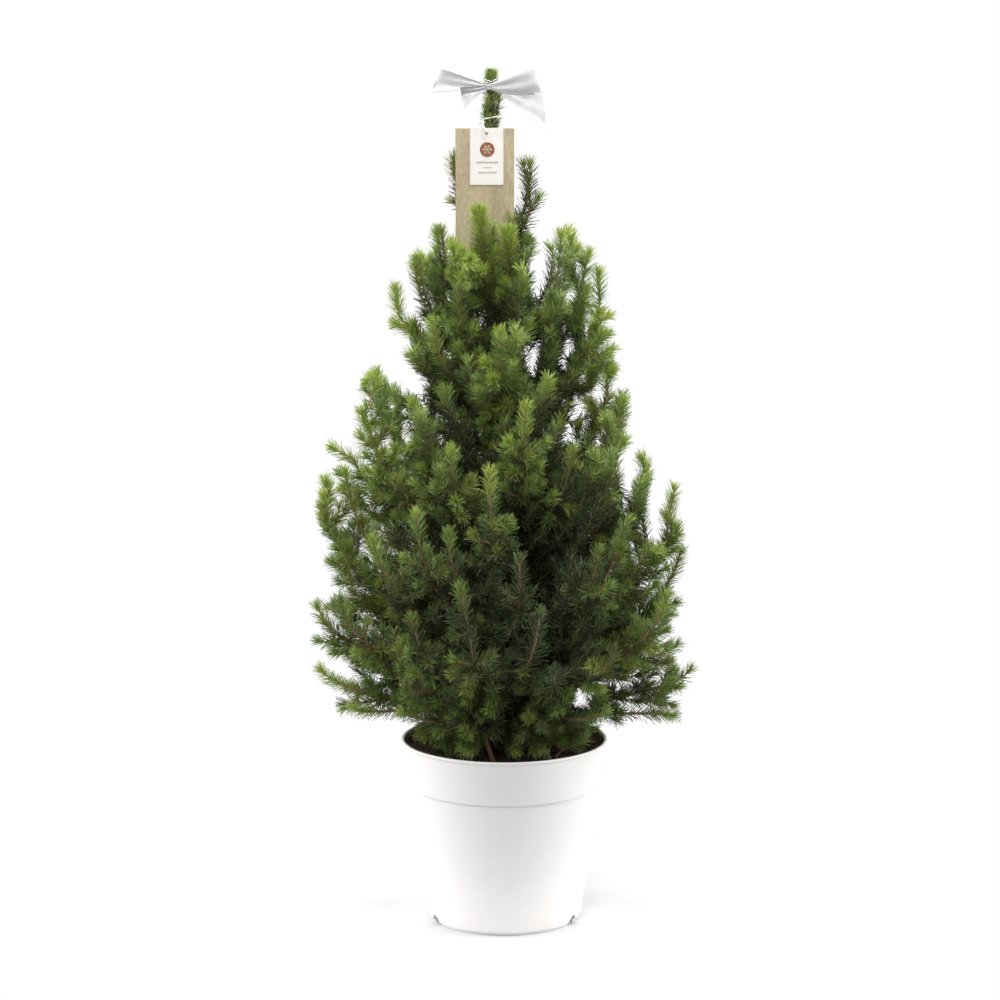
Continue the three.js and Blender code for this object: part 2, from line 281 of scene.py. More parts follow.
def run_tree(obj, tree, values, name):
    """Evaluates the tree on obj with the inputs given by name, and returns the plain mesh."""
    modifier = obj.modifiers.new(tree.name, "NODES")
    modifier.node_group = tree
    for item in tree.interface.items_tree:
        if item.item_type == "SOCKET" and item.in_out == "INPUT" and item.name in values:
            modifier[item.identifier] = values[item.name]
    mesh = evaluated_mesh(obj)
    mesh.name = name
    obj.modifiers.remove(modifier)
    return mesh


# ---------------------------------------------------------------- materials
def material(name, colour, roughness, **sockets):
    made = bpy.data.materials.new(name)
    made.use_nodes = True
    shader = made.node_tree.nodes["Principled BSDF"]
    for label, value in {"Base_Color": (*colour, 1), "Roughness": roughness, **sockets}.items():
        shader.inputs[label.replace("_", " ")].default_value = value
    return made


def feed(made, **sources):
    """Links sockets to the inputs of a material's shader."""
    shader = made.node_tree.nodes["Principled BSDF"]
    for label, source in sources.items():
        made.node_tree.links.new(source, shader.inputs[label.replace("_", " ")])


def mottle_group():
    """Two colours mixed by coarse and fine noise on the piece's own coordinates, with a height."""
    if "mottle" in bpy.data.node_groups:
        return bpy.data.node_groups["mottle"]
    tree, given = new_tree("mottle", "ShaderNodeTree", {
        "Dark": "Color", "Light": "Color", "Coarse Scale": "Float", "Fine Scale": "Float",
        "Stretch": "Vector"}, {"Color": "Color", "Height": "Float"})
    place = node(tree, "ShaderNodeTexCoord").outputs["Object"]
    stretched = node(tree, "ShaderNodeVectorMath", {0: place, 1: given["Stretch"]},
                     operation="MULTIPLY").outputs[0]
    coarse = noise(tree, stretched, given["Coarse Scale"], 4.0)
    fine = noise(tree, stretched, given["Fine Scale"], 3.0)
    height = mapped(tree, maths(tree, "ADD", coarse, fine), 0.7, 1.3)
    colour = blended(tree, height, given["Dark"], given["Light"])
    node(tree, "NodeGroupOutput", {"Color": colour, "Height": height})
    return tree


def mottled(name, dark, light, coarse, fine, roughness, bump, stretch=(1, 1, 1), **sockets):
    """A finish that varies from dark to light in coarse and fine patches, with a low relief."""
    made = material(name, light, roughness, **sockets)
    group = node(made.node_tree, "ShaderNodeGroup", {
        "Dark": (*dark, 1), "Light": (*light, 1), "Coarse Scale": coarse, "Fine Scale": fine,
        "Stretch": stretch}, node_tree=mottle_group()).outputs
    feed(made, Base_Color=group["Color"], Normal=relief(made.node_tree, group["Height"], bump))
    return made


# ---------------------------------------------------------------- pot
def arc(centre, radius, start, end, steps):
    return [(centre[0] + radius * math.cos(a), centre[1] + radius * math.sin(a))
            for a in np.radians(np.linspace(start, end, steps))]


LIP = 0.0034
COLLAR_STEP = 0.002
UNDERCUT = 0.005

NOTCH_BEARINGS = (-62, 62, 180)
NOTCH_WIDTH = 0.011
NOTCH_HEIGHT = 0.009
GREYER = (0.8, 0.8, 0.8)

def wall_at(pot, z):
    """Outer radius of the pot's wall, without its collar."""
    return pot.foot_radius + (pot.rim_radius - 0.0031 - pot.foot_radius) * z / pot.height


def bore_at(pot, z):
    """Inner radius of the pot, which steps out inside the collar."""
    return wall_at(pot, z) - pot.wall + COLLAR_STEP * (z > pot.height - pot.collar)


def pot_profile(pot):
    """The pot's outline, from under its middle round the outside to the middle of its floor."""
    collar = pot.height - pot.collar
    lip = pot.height - LIP
    foot = pot.foot_radius - 0.005
    def wall(z):
        return wall_at(pot, z)
    return [
        (0, 0.0004), (0.0296, 0.0004),
        *arc((0.0296, 0.0014), 0.001, -90, -20, 4),
        *arc((0.0345, UNDERCUT), 0.0012, 170, 90, 4),
        *arc((foot - 0.003, UNDERCUT), 0.0012, 90, 10, 4),
        *arc((foot + 0.0008, 0.0008), 0.0008, 190, 270, 4),
        *arc((pot.foot_radius - 0.0032, 0.0006), 0.0006, -90, 0, 4),
        *arc((pot.foot_radius - 0.0020, 0.0022), 0.0006, 180, 100, 3),
        *arc((pot.foot_radius - 0.0008, 0.0035), 0.0008, -90, 0, 4),
        *[(wall(z), z) for z in np.linspace(0.008, collar - 0.001, 8)],
        *arc((wall(collar) + 0.0009, collar - 0.0003), 0.0009, 180, 100, 4),
        *arc((wall(collar) + COLLAR_STEP - 0.0008, collar + 0.0012), 0.001, -70, 0, 4),
        *[(wall(z) + COLLAR_STEP, z) for z in np.linspace(collar + 0.004, lip - 0.001, 5)],
        *arc((wall(lip) + COLLAR_STEP + 0.0008, lip), 0.0008, 180, 110, 3),
        *arc((pot.rim_radius - 0.0011, lip + 0.0019), 0.0011, -80, 0, 4),
        *arc((pot.rim_radius - 0.0011, pot.height - 0.0011), 0.0011, 0, 90, 5),
        *arc((bore_at(pot, pot.height) + 0.001, pot.height - 0.001), 0.001, 90, 180, 4),
        *[(bore_at(pot, z), z) for z in (pot.height - 0.02, collar + 0.003, collar - 0.001, 0.03)],
        (bore_at(pot, 0.007), 0.0072), (0, 0.0072)]

def lathe(name, profile, segments):
    """The profile, a list of radii and heights, turned round the Z axis."""
    points, faces, starts = [], [], []
    for r, z in profile:
        starts.append(len(points))
        turns = np.linspace(0, 2 * math.pi, segments, endpoint=False) if r > 0 else [0.0]
        points += [(r * math.cos(a), r * math.sin(a), z) for a in turns]
    starts.append(len(points))
    for a, b, after in zip(starts, starts[1:], starts[2:]):
        if b - a == 1:
            faces += [(a, b + (k + 1) % segments, b + k) for k in range(segments)]
        elif after - b == 1:
            faces += [(a + k, a + (k + 1) % segments, b) for k in range(segments)]
        else:
            faces += band(a, b, segments, turned=True)
    return mesh_from(name, points, faces)


def notch_cutter(bearing, reach):
    """An arch-topped bar that cuts a drain notch through the foot."""
    half = NOTCH_WIDTH / 2
    outline = [(-half, -0.002), (half, -0.002), *arc((0, NOTCH_HEIGHT - half), half, 0, 180, 12)]
    out = way_at(math.radians(bearing))
    side = Vector((-out.y, out.x, 0))
    points = [out * r + side * x + UP * z for r in (reach - 0.014, reach + 0.006) for x, z in outline]
    count = len(outline)
    faces = [tuple(reversed(range(count))), tuple(range(count, 2 * count)),
             *band(0, count, count, turned=True)]
    return add_object("notch", recalculate(mesh_from("notch", points, faces)))


class SPRUCE_OT_pot(bpy.types.Operator):
    """Moulds the white nursery pot with its collar, rolled rim and drain notches"""
    bl_idname = "spruce.pot"
    bl_label = "Pot"

    def execute(self, context):
        pot = settings("pot")
        dull = tuple(p + (q - p) * 0.25 for p, q in zip(pot.colour, GREYER))
        plastic = mottled("white_plastic", dull, pot.colour, 18, 420, 0.34, 0.00004, IOR=1.49)
        mesh = recalculate(lathe("pot_moulding", pot_profile(pot), 144))
        obj = add_object("pot_moulding", mesh, plastic)
        carve(obj, [notch_cutter(each, pot.foot_radius) for each in NOTCH_BEARINGS], plastic)
        smooth(obj)
        obj.data.set_sharp_from_angle(angle=math.radians(35))
        finish_piece(obj, "pot", "pot")
        return {"FINISHED"}


# ---------------------------------------------------------------- soil
BANK = 0.0062
SOIL_RINGS = 46
SOIL_SIDES = 120
SOIL_PLAY = 0.0005


def uneven(x, y, scale, seed):
    """A smooth height from a few crossed waves, between about -1 and 1."""
    rng = random.Random(seed)
    total = 0.0
    for octave in range(5):
        a, b, c = (rng.uniform(0, 2 * math.pi) for _ in range(3))
        k = 2 * math.pi / scale * 1.7 ** octave
        wave = math.sin(k * (x * math.cos(a) + y * math.sin(a)) + b)
        total += wave * math.cos(k * y * 0.8 + c) / 1.5 ** octave
    return total / 1.8


class SPRUCE_OT_soil(bpy.types.Operator):
    """Fills the pot with dark crumbly soil"""
    bl_idname = "spruce.soil"
    bl_label = "Soil"

    def execute(self, context):
        earth = mottled("damp_soil", (0.024, 0.016, 0.011), (0.110, 0.070, 0.048),
                        90, 700, 0.95, 0.0012)
        mesh = mesh_from("soil_surface", *self.body(settings("pot")))
        self.crumbs(add_piece("soil_surface", mesh, earth, "soil", "soil"), earth)
        return {"FINISHED"}

    def body(self, pot):
        """Points and faces of the soil: an uneven top, banked up at the wall, over a plain body."""
        level = SOIL_TOP - 0.002
        radius = bore_at(pot, level) - SOIL_PLAY
        sides = SOIL_SIDES
        points = [(0, 0, level)]
        for i in range(1, SOIL_RINGS + 1):
            r = radius * i / SOIL_RINGS
            bank = BANK * (r / radius) ** 5
            for k in range(sides):
                a = 2 * math.pi * k / sides
                x, y = r * math.cos(a), r * math.sin(a)
                z = level + bank + 0.0016 * uneven(x, y, 0.05, 3) + 0.0011 * uneven(x, y, 0.012, 5)
                points.append((x, y, z))
        faces = [(0, 1 + k, 1 + (k + 1) % sides) for k in range(sides)]
        for i in range(SOIL_RINGS - 1):
            faces += band(1 + i * sides, 1 + (i + 1) * sides, sides)
        rim = above = 1 + (SOIL_RINGS - 1) * sides
        collar = pot.height - pot.collar
        for z in (collar + 0.002, collar - 0.002, 0.0085):
            low = len(points)
            r = bore_at(pot, z) - SOIL_PLAY
            points += [(x * r / radius, y * r / radius, z) for x, y, _ in points[rim:rim + sides]]
            faces += band(above, low, sides)
            above = low
        faces.append(tuple(reversed(range(low, low + sides))))
        return points, faces

    def crumbs(self, ground, earth):
        tree, given = geometry_tree(
            "soil crumbs", Density="Float", Crumb_Size="Float", Seed="Int", Material="Material")
        normal = node(tree, "GeometryNodeInputNormal").outputs["Normal"]
        upward = node(tree, "ShaderNodeSeparateXYZ", {0: normal}).outputs["Z"]
        on_top = node(tree, "FunctionNodeCompare", {0: upward, 1: 0.3}, operation="GREATER_THAN")
        scatter = node(tree, "GeometryNodeDistributePointsOnFaces", {
            "Mesh": given["Geometry"], "Selection": on_top.outputs[0],
            "Density": given["Density"], "Seed": given["Seed"]})
        crumb = node(tree, "GeometryNodeMeshIcoSphere", {
            "Radius": given["Crumb Size"], "Subdivisions": 1})

        def chance(low, high, seed):
            return node(tree, "FunctionNodeRandomValue", {0: low, 1: high, "Seed": seed},
                        data_type="FLOAT_VECTOR").outputs[0]

        placed = node(tree, "GeometryNodeInstanceOnPoints", {
            "Points": scatter.outputs["Points"], "Instance": crumb.outputs["Mesh"],
            "Rotation": chance((0, 0, 0), (6.28, 6.28, 6.28), 5),
            "Scale": chance((0.4, 0.4, 0.3), (1.5, 1.3, 1.0), 4)})
        finish_tree(tree, placed.outputs[0], given["Material"])
        mesh = run_tree(ground, tree, {
            "Density": 42000.0, "Crumb Size": 0.0016, "Seed": 11, "Material": earth}, "soil_crumbs")
        add_piece("soil_crumbs", mesh, earth, "soil", soft=False)


# ---------------------------------------------------------------- growth
class Shoot:
    """One twig: its points from foot to tip, its radius at both ends, and its branching order.

    It has no needles on the bare stretch from its foot. An inner shoot grows in the shade, needle
    is the size of its needles, a higher tone is a lighter green, and a cut shoot is left out."""
    bare = 0.0
    inner = False
    needle = 1.0
    tone = 0.0
    cut = False

    def __init__(self, points, thick, thin, order, **facts):
        self.points = points
        self.thick = thick
        self.thin = thin
        self.order = order
        vars(self).update(facts)

    def length(self):
        return sum((b - a).length for a, b in zip(self.points, self.points[1:]))

    def end(self, reach):
        """The points of the last stretch of the shoot, from its tip back."""
        tip = self.points[-1]
        return [p for p in reversed(self.points) if (p - tip).length <= reach]


def node_mesh(name):
    """A CAD node's merged points, its faces, and each face's area."""
    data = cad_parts[name].data
    points = []
    places = {}
    index = []
    for vertex in data.vertices:
        key = tuple(round(c, 6) for c in vertex.co)
        if key not in places:
            places[key] = len(points)
            points.append(vertex.co.copy())
        index.append(places[key])
    faces = []
    areas = []
    for polygon in data.polygons:
        face = tuple(dict.fromkeys(index[v] for v in polygon.vertices))
        if len(face) == 3:
            a, b, c = (points[v] for v in face)
            faces.append(face)
            areas.append((b - a).cross(c - a).length / 2)
    return points, faces, areas


def trunk_line():
    """Heights, centres and radii of the trunk, from the rings of its node."""
    rings = {}
    for point in node_mesh("trunk")[0]:
        rings.setdefault(round(point.z, 4), []).append(point)
    rows = sorted((z, ring) for z, ring in rings.items() if len(ring) > 4)
    centres = [sum(ring, Vector()) / len(ring) for _, ring in rows]
    radii = [sum((p - c).length for p in ring) / len(ring) for (_, ring), c in zip(rows, centres)]
    return [z for z, _ in rows], centres, radii


HEIGHTS, CENTRES, RADII = trunk_line()


def trunk_at(z):
    x = np.interp(z, HEIGHTS, [c.x for c in CENTRES])
    y = np.interp(z, HEIGHTS, [c.y for c in CENTRES])
    return Vector((x, y, z)), float(np.interp(z, HEIGHTS, RADII))


def spire_tips(points, faces, foot):
    """The points of a mass that lie farther from its foot than all their neighbours."""
    near = {i: set() for i in range(len(points))}
    for face in faces:
        for a, b in zip(face, face[1:] + face[:1]):
            near[a].add(b)
            near[b].add(a)
    reach = [(p - foot).length for p in points]
    peaks = [i for i in near if near[i] and reach[i] > 0.5 * max(reach)
             and all(reach[i] >= reach[j] for j in near[i])]
    tips = []
    for i in sorted(peaks, key=lambda i: -reach[i]):
        if all((points[i] - t).length > 0.022 for t in tips):
            tips.append(points[i])
    return tips


def bezier(a, b, c, d, step=0.005):
    """Points about a step apart along the curve from a to d that heads for b and comes from c."""
    count = max(3, round((d - a).length / step))
    points = []
    for i in range(count + 1):
        t = i / count
        u = 1 - t
        points.append(a * u ** 3 + b * (3 * t * u * u) + c * (3 * t * t * u) + d * t ** 3)
    return points


def spray_of(name):
    """How strongly the shoots of a mass turn up, by its tier."""
    if "skirt" in name:
        return 0.12
    return 0.55 if "bottom" in name else 1.0


class Spacing:
    """Places already taken, so that new ones keep a distance."""

    def __init__(self, distance):
        self.distance = distance
        self.cells = {}

    def key(self, place):
        return tuple(int(math.floor(c / self.distance)) for c in place)

    def free(self, place, share=1.0):
        near = product(*((c - 1, c, c + 1) for c in self.key(place)))
        return not any((other - place).length < self.distance * share
                       for cell in near for other in self.cells.get(cell, ()))

    def take(self, place):
        self.cells.setdefault(self.key(place), []).append(place)


# Straight gaps through the crown, open towards a place well in front of the plant: where each
# crosses the trunk's plane (x and z), its half width and its half height.
OPEN_TOWARDS = Vector((-0.004, -2.6, 0.815))
GAPS = (
    (0.114, 0.412, 0.007, 0.024), (0.138, 0.369, 0.007, 0.025), (0.031, 0.596, 0.006, 0.021),
    (-0.082, 0.499, 0.009, 0.012), (-0.140, 0.443, 0.008, 0.010), (-0.101, 0.528, 0.013, 0.019),
    (0.083, 0.494, 0.004, 0.010), (0.025, 0.520, 0.008, 0.018), (0.057, 0.527, 0.007, 0.020),
    (0.068, 0.200, 0.007, 0.009), (-0.087, 0.457, 0.004, 0.014), (-0.121, 0.477, 0.004, 0.013),
    (0.088, 0.582, 0.004, 0.014), (0.073, 0.545, 0.003, 0.015), (0.070, 0.503, 0.003, 0.012),
    (-0.050, 0.570, 0.003, 0.012), (0.066, 0.474, 0.003, 0.009), (0.086, 0.441, 0.003, 0.012))
GAP_REACH = 1.5
GAP_RIM = 0.0035

# Places where the crown is closed: x, y and z, half width and half height, and how strongly
# the shoots there turn up.
FULL = (
    (-0.147, 0.0, 0.378, 0.018, 0.034, 1.0), (-0.130, 0.0, 0.396, 0.012, 0.018, 1.0),
    (-0.111, 0.0, 0.480, 0.011, 0.020, 1.0), (0.057, 0.0, 0.614, 0.007, 0.024, 1.0),
    (0.122, 0.0, 0.398, 0.006, 0.018, 1.0), (-0.068, 0.0, 0.600, 0.010, 0.012, 1.0),
    (0.142, 0.0, 0.202, 0.018, 0.010, 0.2), (0.146, 0.0, 0.228, 0.015, 0.010, 0.4),
    (-0.132, 0.0, 0.283, 0.014, 0.010, 0.6), (-0.156, 0.0, 0.285, 0.008, 0.010, 0.6),
    (-0.135, 0.0, 0.205, 0.013, 0.007, 0.2), (-0.135, 0.0, 0.226, 0.008, 0.008, 0.4),
    (0.088, 0.0, 0.530, 0.008, 0.032, 1.0), (-0.036, -0.06, 0.610, 0.009, 0.016, 1.0),
    (0.018, 0.0, 0.612, 0.005, 0.022, 1.0))

# Notches in the edge of the crown, open at the top: x, z, half width and half height. No shoot
# ends in one.
NOTCHES = (
    (0.0335, 0.619, 0.006, 0.016), (-0.092, 0.5275, 0.009, 0.0125), (-0.0955, 0.500, 0.007, 0.010))


def levelled(place):
    """The place on the trunk's plane that a place lies before or behind, seen from the front."""
    return OPEN_TOWARDS.lerp(place, OPEN_TOWARDS.y / (OPEN_TOWARDS.y - place.y))


def in_notch(place):
    level = levelled(place)
    return any(abs(level.x - x) < wide and abs(level.z - z) < high for x, z, wide, high in NOTCHES)


def gaps_near(place):
    """The gaps round a place, each with how far the place is from its middle: 1 is its edge."""
    level = levelled(place)
    for x, z, wide, high in GAPS:
        aside, above = level.x - x, level.z - z
        away = math.hypot(aside / (wide + GAP_RIM), above / (high + GAP_RIM))
        away *= 1 + 0.2 * math.sin(3 * math.atan2(above, aside) + 90 * x)
        if away < GAP_REACH:
            yield aside, above, away


def in_gap(place):
    return any(away < 0.35 for _, _, away in gaps_near(place))


def parted(place):
    """The place moved aside from the gaps near it, so that shoots grow round them."""
    place = place.copy()
    for aside, above, away in list(gaps_near(place)):
        away = max(away, 0.05)
        push = (1 + (GAP_REACH - 1) * away / GAP_REACH) / away - 1
        place += Vector((aside * push, 0, above * push))
    return place


class Crown:
    """Grows the whole crown once, from the trunk outwards."""

    def __init__(self, foliage):
        self.foliage = foliage
        self.rng = random.Random(foliage.seed)
        self.shoots = []
        self.spacing = Spacing(foliage.tip_spacing)
        names = sorted(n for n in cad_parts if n.startswith("mass_") and n != "mass_leader")
        self.heights, self.widths = self.profile(names)
        for name in names:
            self.grow_mass(name)
        self.grow_full()
        self.grow_inside()
        self.grow_skirt()
        self.grow_leader()
        for shoot in list(self.shoots):
            if shoot.order > 0:
                self.grow_twigs(shoot)
        for shoot in self.shoots:
            shoot.points = [parted(p) for p in shoot.points]
        self.open_notches()

    def open_notches(self):
        """Cuts the shoots that end in a notch, with all that grows on them."""
        lost = [s for s in self.shoots if s.order and in_notch(s.points[-1])]
        while lost:
            cut = set()
            for shoot in lost:
                shoot.cut = True
                cut.update(tuple(round(c, 5) for c in p) for p in shoot.points[1:])
            lost = [s for s in self.shoots
                    if not s.cut and tuple(round(c, 5) for c in s.points[0]) in cut]

    def profile(self, names):
        """The crown's radius by height."""
        band = 0.03
        rows = {}
        for name in names:
            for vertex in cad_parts[name].data.vertices:
                key = int(vertex.co.z / band)
                rows[key] = max(rows.get(key, 0), vertex.co.xy.length)
        keys = sorted(rows)
        return [(k + 0.5) * band for k in keys], [rows[k] for k in keys]

    def width_at(self, z):
        return float(np.interp(z, self.heights, self.widths))

    def sway(self, size):
        return Vector([self.rng.uniform(-size, size) for _ in range(3)])

    def grow_mass(self, name):
        """Leaders to the spires of one mass, then shoots to tips spread over its surface."""
        rng = self.rng
        points, faces, areas = node_mesh(name)
        lift = spray_of(name)
        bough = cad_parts.get(name.replace("mass_", "bough_"))
        if bough is not None:
            foot = max((v.co for v in bough.data.vertices), key=lambda p: p.xy.length).copy()
        else:
            foot = trunk_at(min(points, key=lambda p: p.xy.length).z)[0]
        high = foot.z > 0.5
        front = "front" in name
        tone = (0.0 if front else -0.40) if high else -0.05 * (foot.y > 0)
        short = 0.0035 if high and front else 0.0085
        own = []
        for number, tip in enumerate(spire_tips(points, faces, foot)):
            end = tip - (tip - foot).normalized() * short
            bend = foot.lerp(end, 0.85)
            bend.z = foot.z + (end.z - foot.z) * (0.5 if lift < 0.3 else 0.25)
            sway = self.sway(0.006)
            line = bezier(foot, foot.lerp(bend, 0.667) + sway, end.lerp(bend, 0.667) - sway, end)
            leader = Shoot(line, 0.0018 if number else 0.0024, 0.0008, 0)
            leader.bare = 0.16 * leader.length()
            own.append(leader)
            if high:
                twin = self.beside(line, "left" in name)
                own.append(Shoot(twin, 0.0015, 0.0005, 0, bare=leader.bare))
            self.claim(leader, 0.040)
        tips = []
        for _ in range(int(7 * sum(areas) / self.foliage.tip_spacing ** 2)):
            face = rng.choices(faces, areas)[0]
            a, b, c = (points[v] for v in face)
            u, v = sorted((rng.random(), rng.random()))
            place = a * u + b * (v - u) + c * (1 - v)
            normal = (b - a).cross(c - a).normalized()
            place = place - normal * rng.uniform(0.002, 0.007)
            if normal.z < -0.45 and rng.random() < 0.6:
                continue
            if place.z > SOIL_TOP + 0.012:
                tips.append((place, normal))
        tips.sort(key=lambda each: (each[0] - foot).length + rng.uniform(0, 0.02))
        for place, normal in tips:
            if not self.spacing.free(place):
                continue
            shoot = self.join(place, normal, lift, own)
            if shoot is None:
                continue
            if all(self.spacing.free(p, 0.55) for p in shoot.end(0.018)):
                self.claim(shoot, 0.020)
                own.append(shoot)
        for shoot in own:
            shoot.tone = tone
        self.shoots += own
    def beside(self, line, left):
        """A line beside a leader's, which makes its spire fuller."""
        twin = []
        for i, p in enumerate(line):
            along = i / (len(line) - 1)
            aside = -0.004 if left else 0.010 * math.sin(math.pi * along) - 0.006 * along
            twin.append(p + Vector((aside, 0.0, 0.0)))
        return twin
    def grow_full(self):
        """Closes the rim of the crown with more shoots where it is full."""
        rng = self.rng
        for x, y, z, wide, high, lift in FULL:
            centre = Vector((x, y, z))
            near = [s for s in self.shoots if (s.points[len(s.points) // 2] - centre).length < 0.11]
            for _ in range(int(wide * high * 200 / self.foliage.tip_spacing ** 2)):
                place = centre + Vector((
                    rng.uniform(-wide, wide), rng.uniform(-0.025, 0.035), rng.uniform(-high, high)))
                if not self.spacing.free(place, 1.05):
                    continue
                outward = Vector((place.x, place.y, 0.0)).normalized()
                shoot = self.join(place, outward, lift, near)
                if shoot and all(self.spacing.free(p, 0.6) for p in shoot.end(0.018)):
                    shoot.tone = -0.12
                    self.claim(shoot, 0.020)
                    near.append(shoot)
                    self.shoots.append(shoot)

    def claim(self, shoot, reach):
        """Keeps other shoots clear of this one's end."""
        for place in shoot.end(reach):
            self.spacing.take(place)

    def join(self, tip, normal, lift, own):
        """A shoot to a tip from the place on the mass's own shoots that it most naturally leaves."""
        best = None
        for parent in own:
            points = parent.points
            for i in range(1, len(points) - 1, 1 if parent.order else 2):
                gap = tip - points[i]
                distance = gap.length
                if not 0.014 < distance < 0.1:
                    continue
                along = (points[i + 1] - points[i - 1]).normalized()
                turn = gap.dot(along) / distance
                cost = distance * (1 + 1.4 * (1 - turn)) + 0.006 * parent.order
                if gap.z < -0.004 and lift > 0.3:
                    cost += 0.03
                if best is None or cost < best[0]:
                    best = (cost, points[i], along, parent.order)
        if best is None:
            return None
        _, place, along, order = best
        toward = (tip - place).normalized()
        outward = Vector((tip.x, tip.y, 0)).normalized()
        grown = (normal * 0.3 + outward * (0.9 - 0.5 * lift) + UP * lift + toward * 0.5).normalized()
        reach = (tip - place).length / 3
        leave = (along * 0.3 + toward).normalized()
        sway = self.sway(0.0015)
        line = bezier(place, place + leave * reach + sway, tip - grown * reach - sway, tip)
        order = min(order + 1, 3)
        return Shoot(line, 0.0014 if order == 1 else 0.0008, 0.0005, order)

    def grow_inside(self):
        """Short shaded shoots all round the trunk, behind the outer ones."""
        rng = self.rng
        bearing = 0.0
        z = SOIL_TOP + 0.014
        while z < 0.63:
            bearing += GOLDEN + rng.uniform(-0.3, 0.3)
            centre, radius = trunk_at(z)
            low = min(1.0, (z - SOIL_TOP) / 0.12)
            share = rng.uniform(0.4, 0.75) * (1 - 0.35 * max(0.0, (z - 0.45) / 0.2))
            reach = max(0.02, share * self.width_at(z + 0.05))
            way = way_at(bearing)
            tip = centre + way * reach + UP * reach * (0.12 + 0.95 * low)
            place = centre + way * radius * 0.5
            heading = (way + UP * 0.15 * low).normalized()
            line = bezier(place, place + heading * reach * 0.4, tip - UP * reach * 0.35 * low, tip)
            self.shoots.append(Shoot(line, 0.0012, 0.0004, 1, bare=0.008, inner=True))
            z += self.foliage.inside_spacing * (0.5 if z < SOIL_TOP + 0.09 else 1.0)

    def grow_skirt(self):
        """Low shoots that hang their needles over the soil and the rim, and a few from the soil."""
        rng = self.rng
        bearing = 0.4
        for _ in range(self.foliage.low_shoots):
            bearing += GOLDEN + rng.uniform(-0.2, 0.2)
            centre, radius = trunk_at(SOIL_TOP + rng.uniform(0.012, 0.05))
            way = way_at(bearing)
            if way.y < 0 and -0.33 < way.x < 0.02:
                continue
            reach = rng.uniform(0.045, 0.084)
            tip = centre + way * reach
            tip.z = SOIL_TOP + rng.uniform(0.008, 0.034) + 0.004 * (reach > 0.07)
            place = centre + way * radius * 0.5
            line = bezier(place, place + way * reach * 0.4 + UP * 0.006,
                          tip - way * reach * 0.3 + UP * 0.004, tip)
            # Painted light: the low shoots take a lighter green under the shading crown.
            self.shoots.append(Shoot(line, 0.001, 0.0004, 1, bare=0.012, tone=0.14))
        centre = trunk_at(SOIL_TOP + 0.03)[0]
        for number in range(11):
            way = way_at(-1.3 + 0.09 * number)
            reach = rng.uniform(0.060, 0.086)
            tip = centre + way * reach
            tip.z = SOIL_TOP + rng.uniform(0.007, 0.016) + 0.004 * (reach > 0.075)
            line = bezier(centre, centre + way * reach * 0.5 + UP * 0.004,
                          tip - way * reach * 0.2 + UP * 0.010, tip)
            # These low shoots are painted a lighter green too.
            self.shoots.append(Shoot(line, 0.001, 0.0004, 1, bare=0.02, tone=0.1))
        for _ in range(5):
            foot = Vector((rng.uniform(0.028, 0.050), rng.uniform(-0.060, -0.046), SOIL_TOP - 0.002))
            tip = foot + Vector((
                rng.uniform(-0.02, 0.04), rng.uniform(-0.018, 0.0), rng.uniform(0.018, 0.04)))
            line = bezier(foot, foot + UP * 0.012, tip - UP * 0.006, tip, 0.003)
            self.shoots.append(Shoot(line, 0.0011, 0.0005, 0, bare=rng.uniform(0.010, 0.018)))

    def grow_leader(self):
        """The bushy brush of the leader, with short shoots that hug it."""
        rng = self.rng
        low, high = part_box("mass_leader")
        line = [trunk_at(z)[0] for z in np.linspace(low.z, high.z - 0.006, 40)]
        for _ in range(2):
            self.shoots.append(
                Shoot([p.copy() for p in line], 0.0004, 0.0004, 0, needle=0.78, tone=-0.14))
        bearing = 0.7
        heights = list(np.arange(low.z + 0.004, high.z - 0.045, 0.006))
        heights += [high.z - drop for drop in (
            0.046, 0.045, 0.044, 0.043, 0.024, 0.023, 0.022, 0.021, 0.020)]
        for z in heights:
            bearing += GOLDEN
            centre, radius = trunk_at(z)
            way = way_at(bearing)
            span = min(rng.uniform(0.014, 0.022), high.z - 0.006 - z)
            spread = 0.0035 if z > high.z - 0.03 else 0.0075
            tip = centre + way * rng.uniform(0.5, 1.0) * spread + UP * span
            place = centre + way * radius * 0.5
            line = bezier(place, place + (way + UP) * span * 0.3, tip - UP * span * 0.4, tip, 0.003)
            self.shoots.append(Shoot(line, 0.0007, 0.0004, 2, needle=0.68, tone=-0.18))

    def grow_twigs(self, shoot):
        """Side twigs that turn up along the older part of a shoot, well behind its end."""
        rng = self.rng
        total = shoot.length()
        clear = 0.016 if shoot.inner else 0.027
        gone = 0.0
        due = 0.006 + shoot.bare
        turn = rng.uniform(0, math.pi)
        for a, b in zip(shoot.points, shoot.points[1:]):
            gone += (b - a).length
            if gone < due or total - gone < clear:
                continue
            due = gone + self.foliage.twig_spacing * rng.uniform(0.8, 1.2)
            along = (b - a).normalized()
            side = along.cross(UP)
            if side.length < 0.1:
                side = along.cross(Vector((1, 0, 0)))
            side.normalize()
            other = along.cross(side)
            turn += GOLDEN + rng.uniform(-0.4, 0.4)
            across = side * math.cos(turn) + other * math.sin(turn)
            length = min(0.6 * (total - gone), 0.028) * rng.uniform(0.75, 1.1)
            if length < 0.008:
                continue
            way = (along * 0.75 + across * 0.65).normalized()
            end = b + (way + UP * 0.3).normalized() * length
            line = bezier(b, b + way * length / 3, end - (way * 0.7 + UP * 0.8) * length / 4, end, 0.0055)
            self.shoots.append(Shoot(line, 0.00045, 0.0003, 3, inner=shoot.inner))


GROWN = []


def crown():
    """The crown, grown the first time that it is asked for."""
    if not GROWN:
        GROWN.append(Crown(settings("foliage")))
    return GROWN[0]


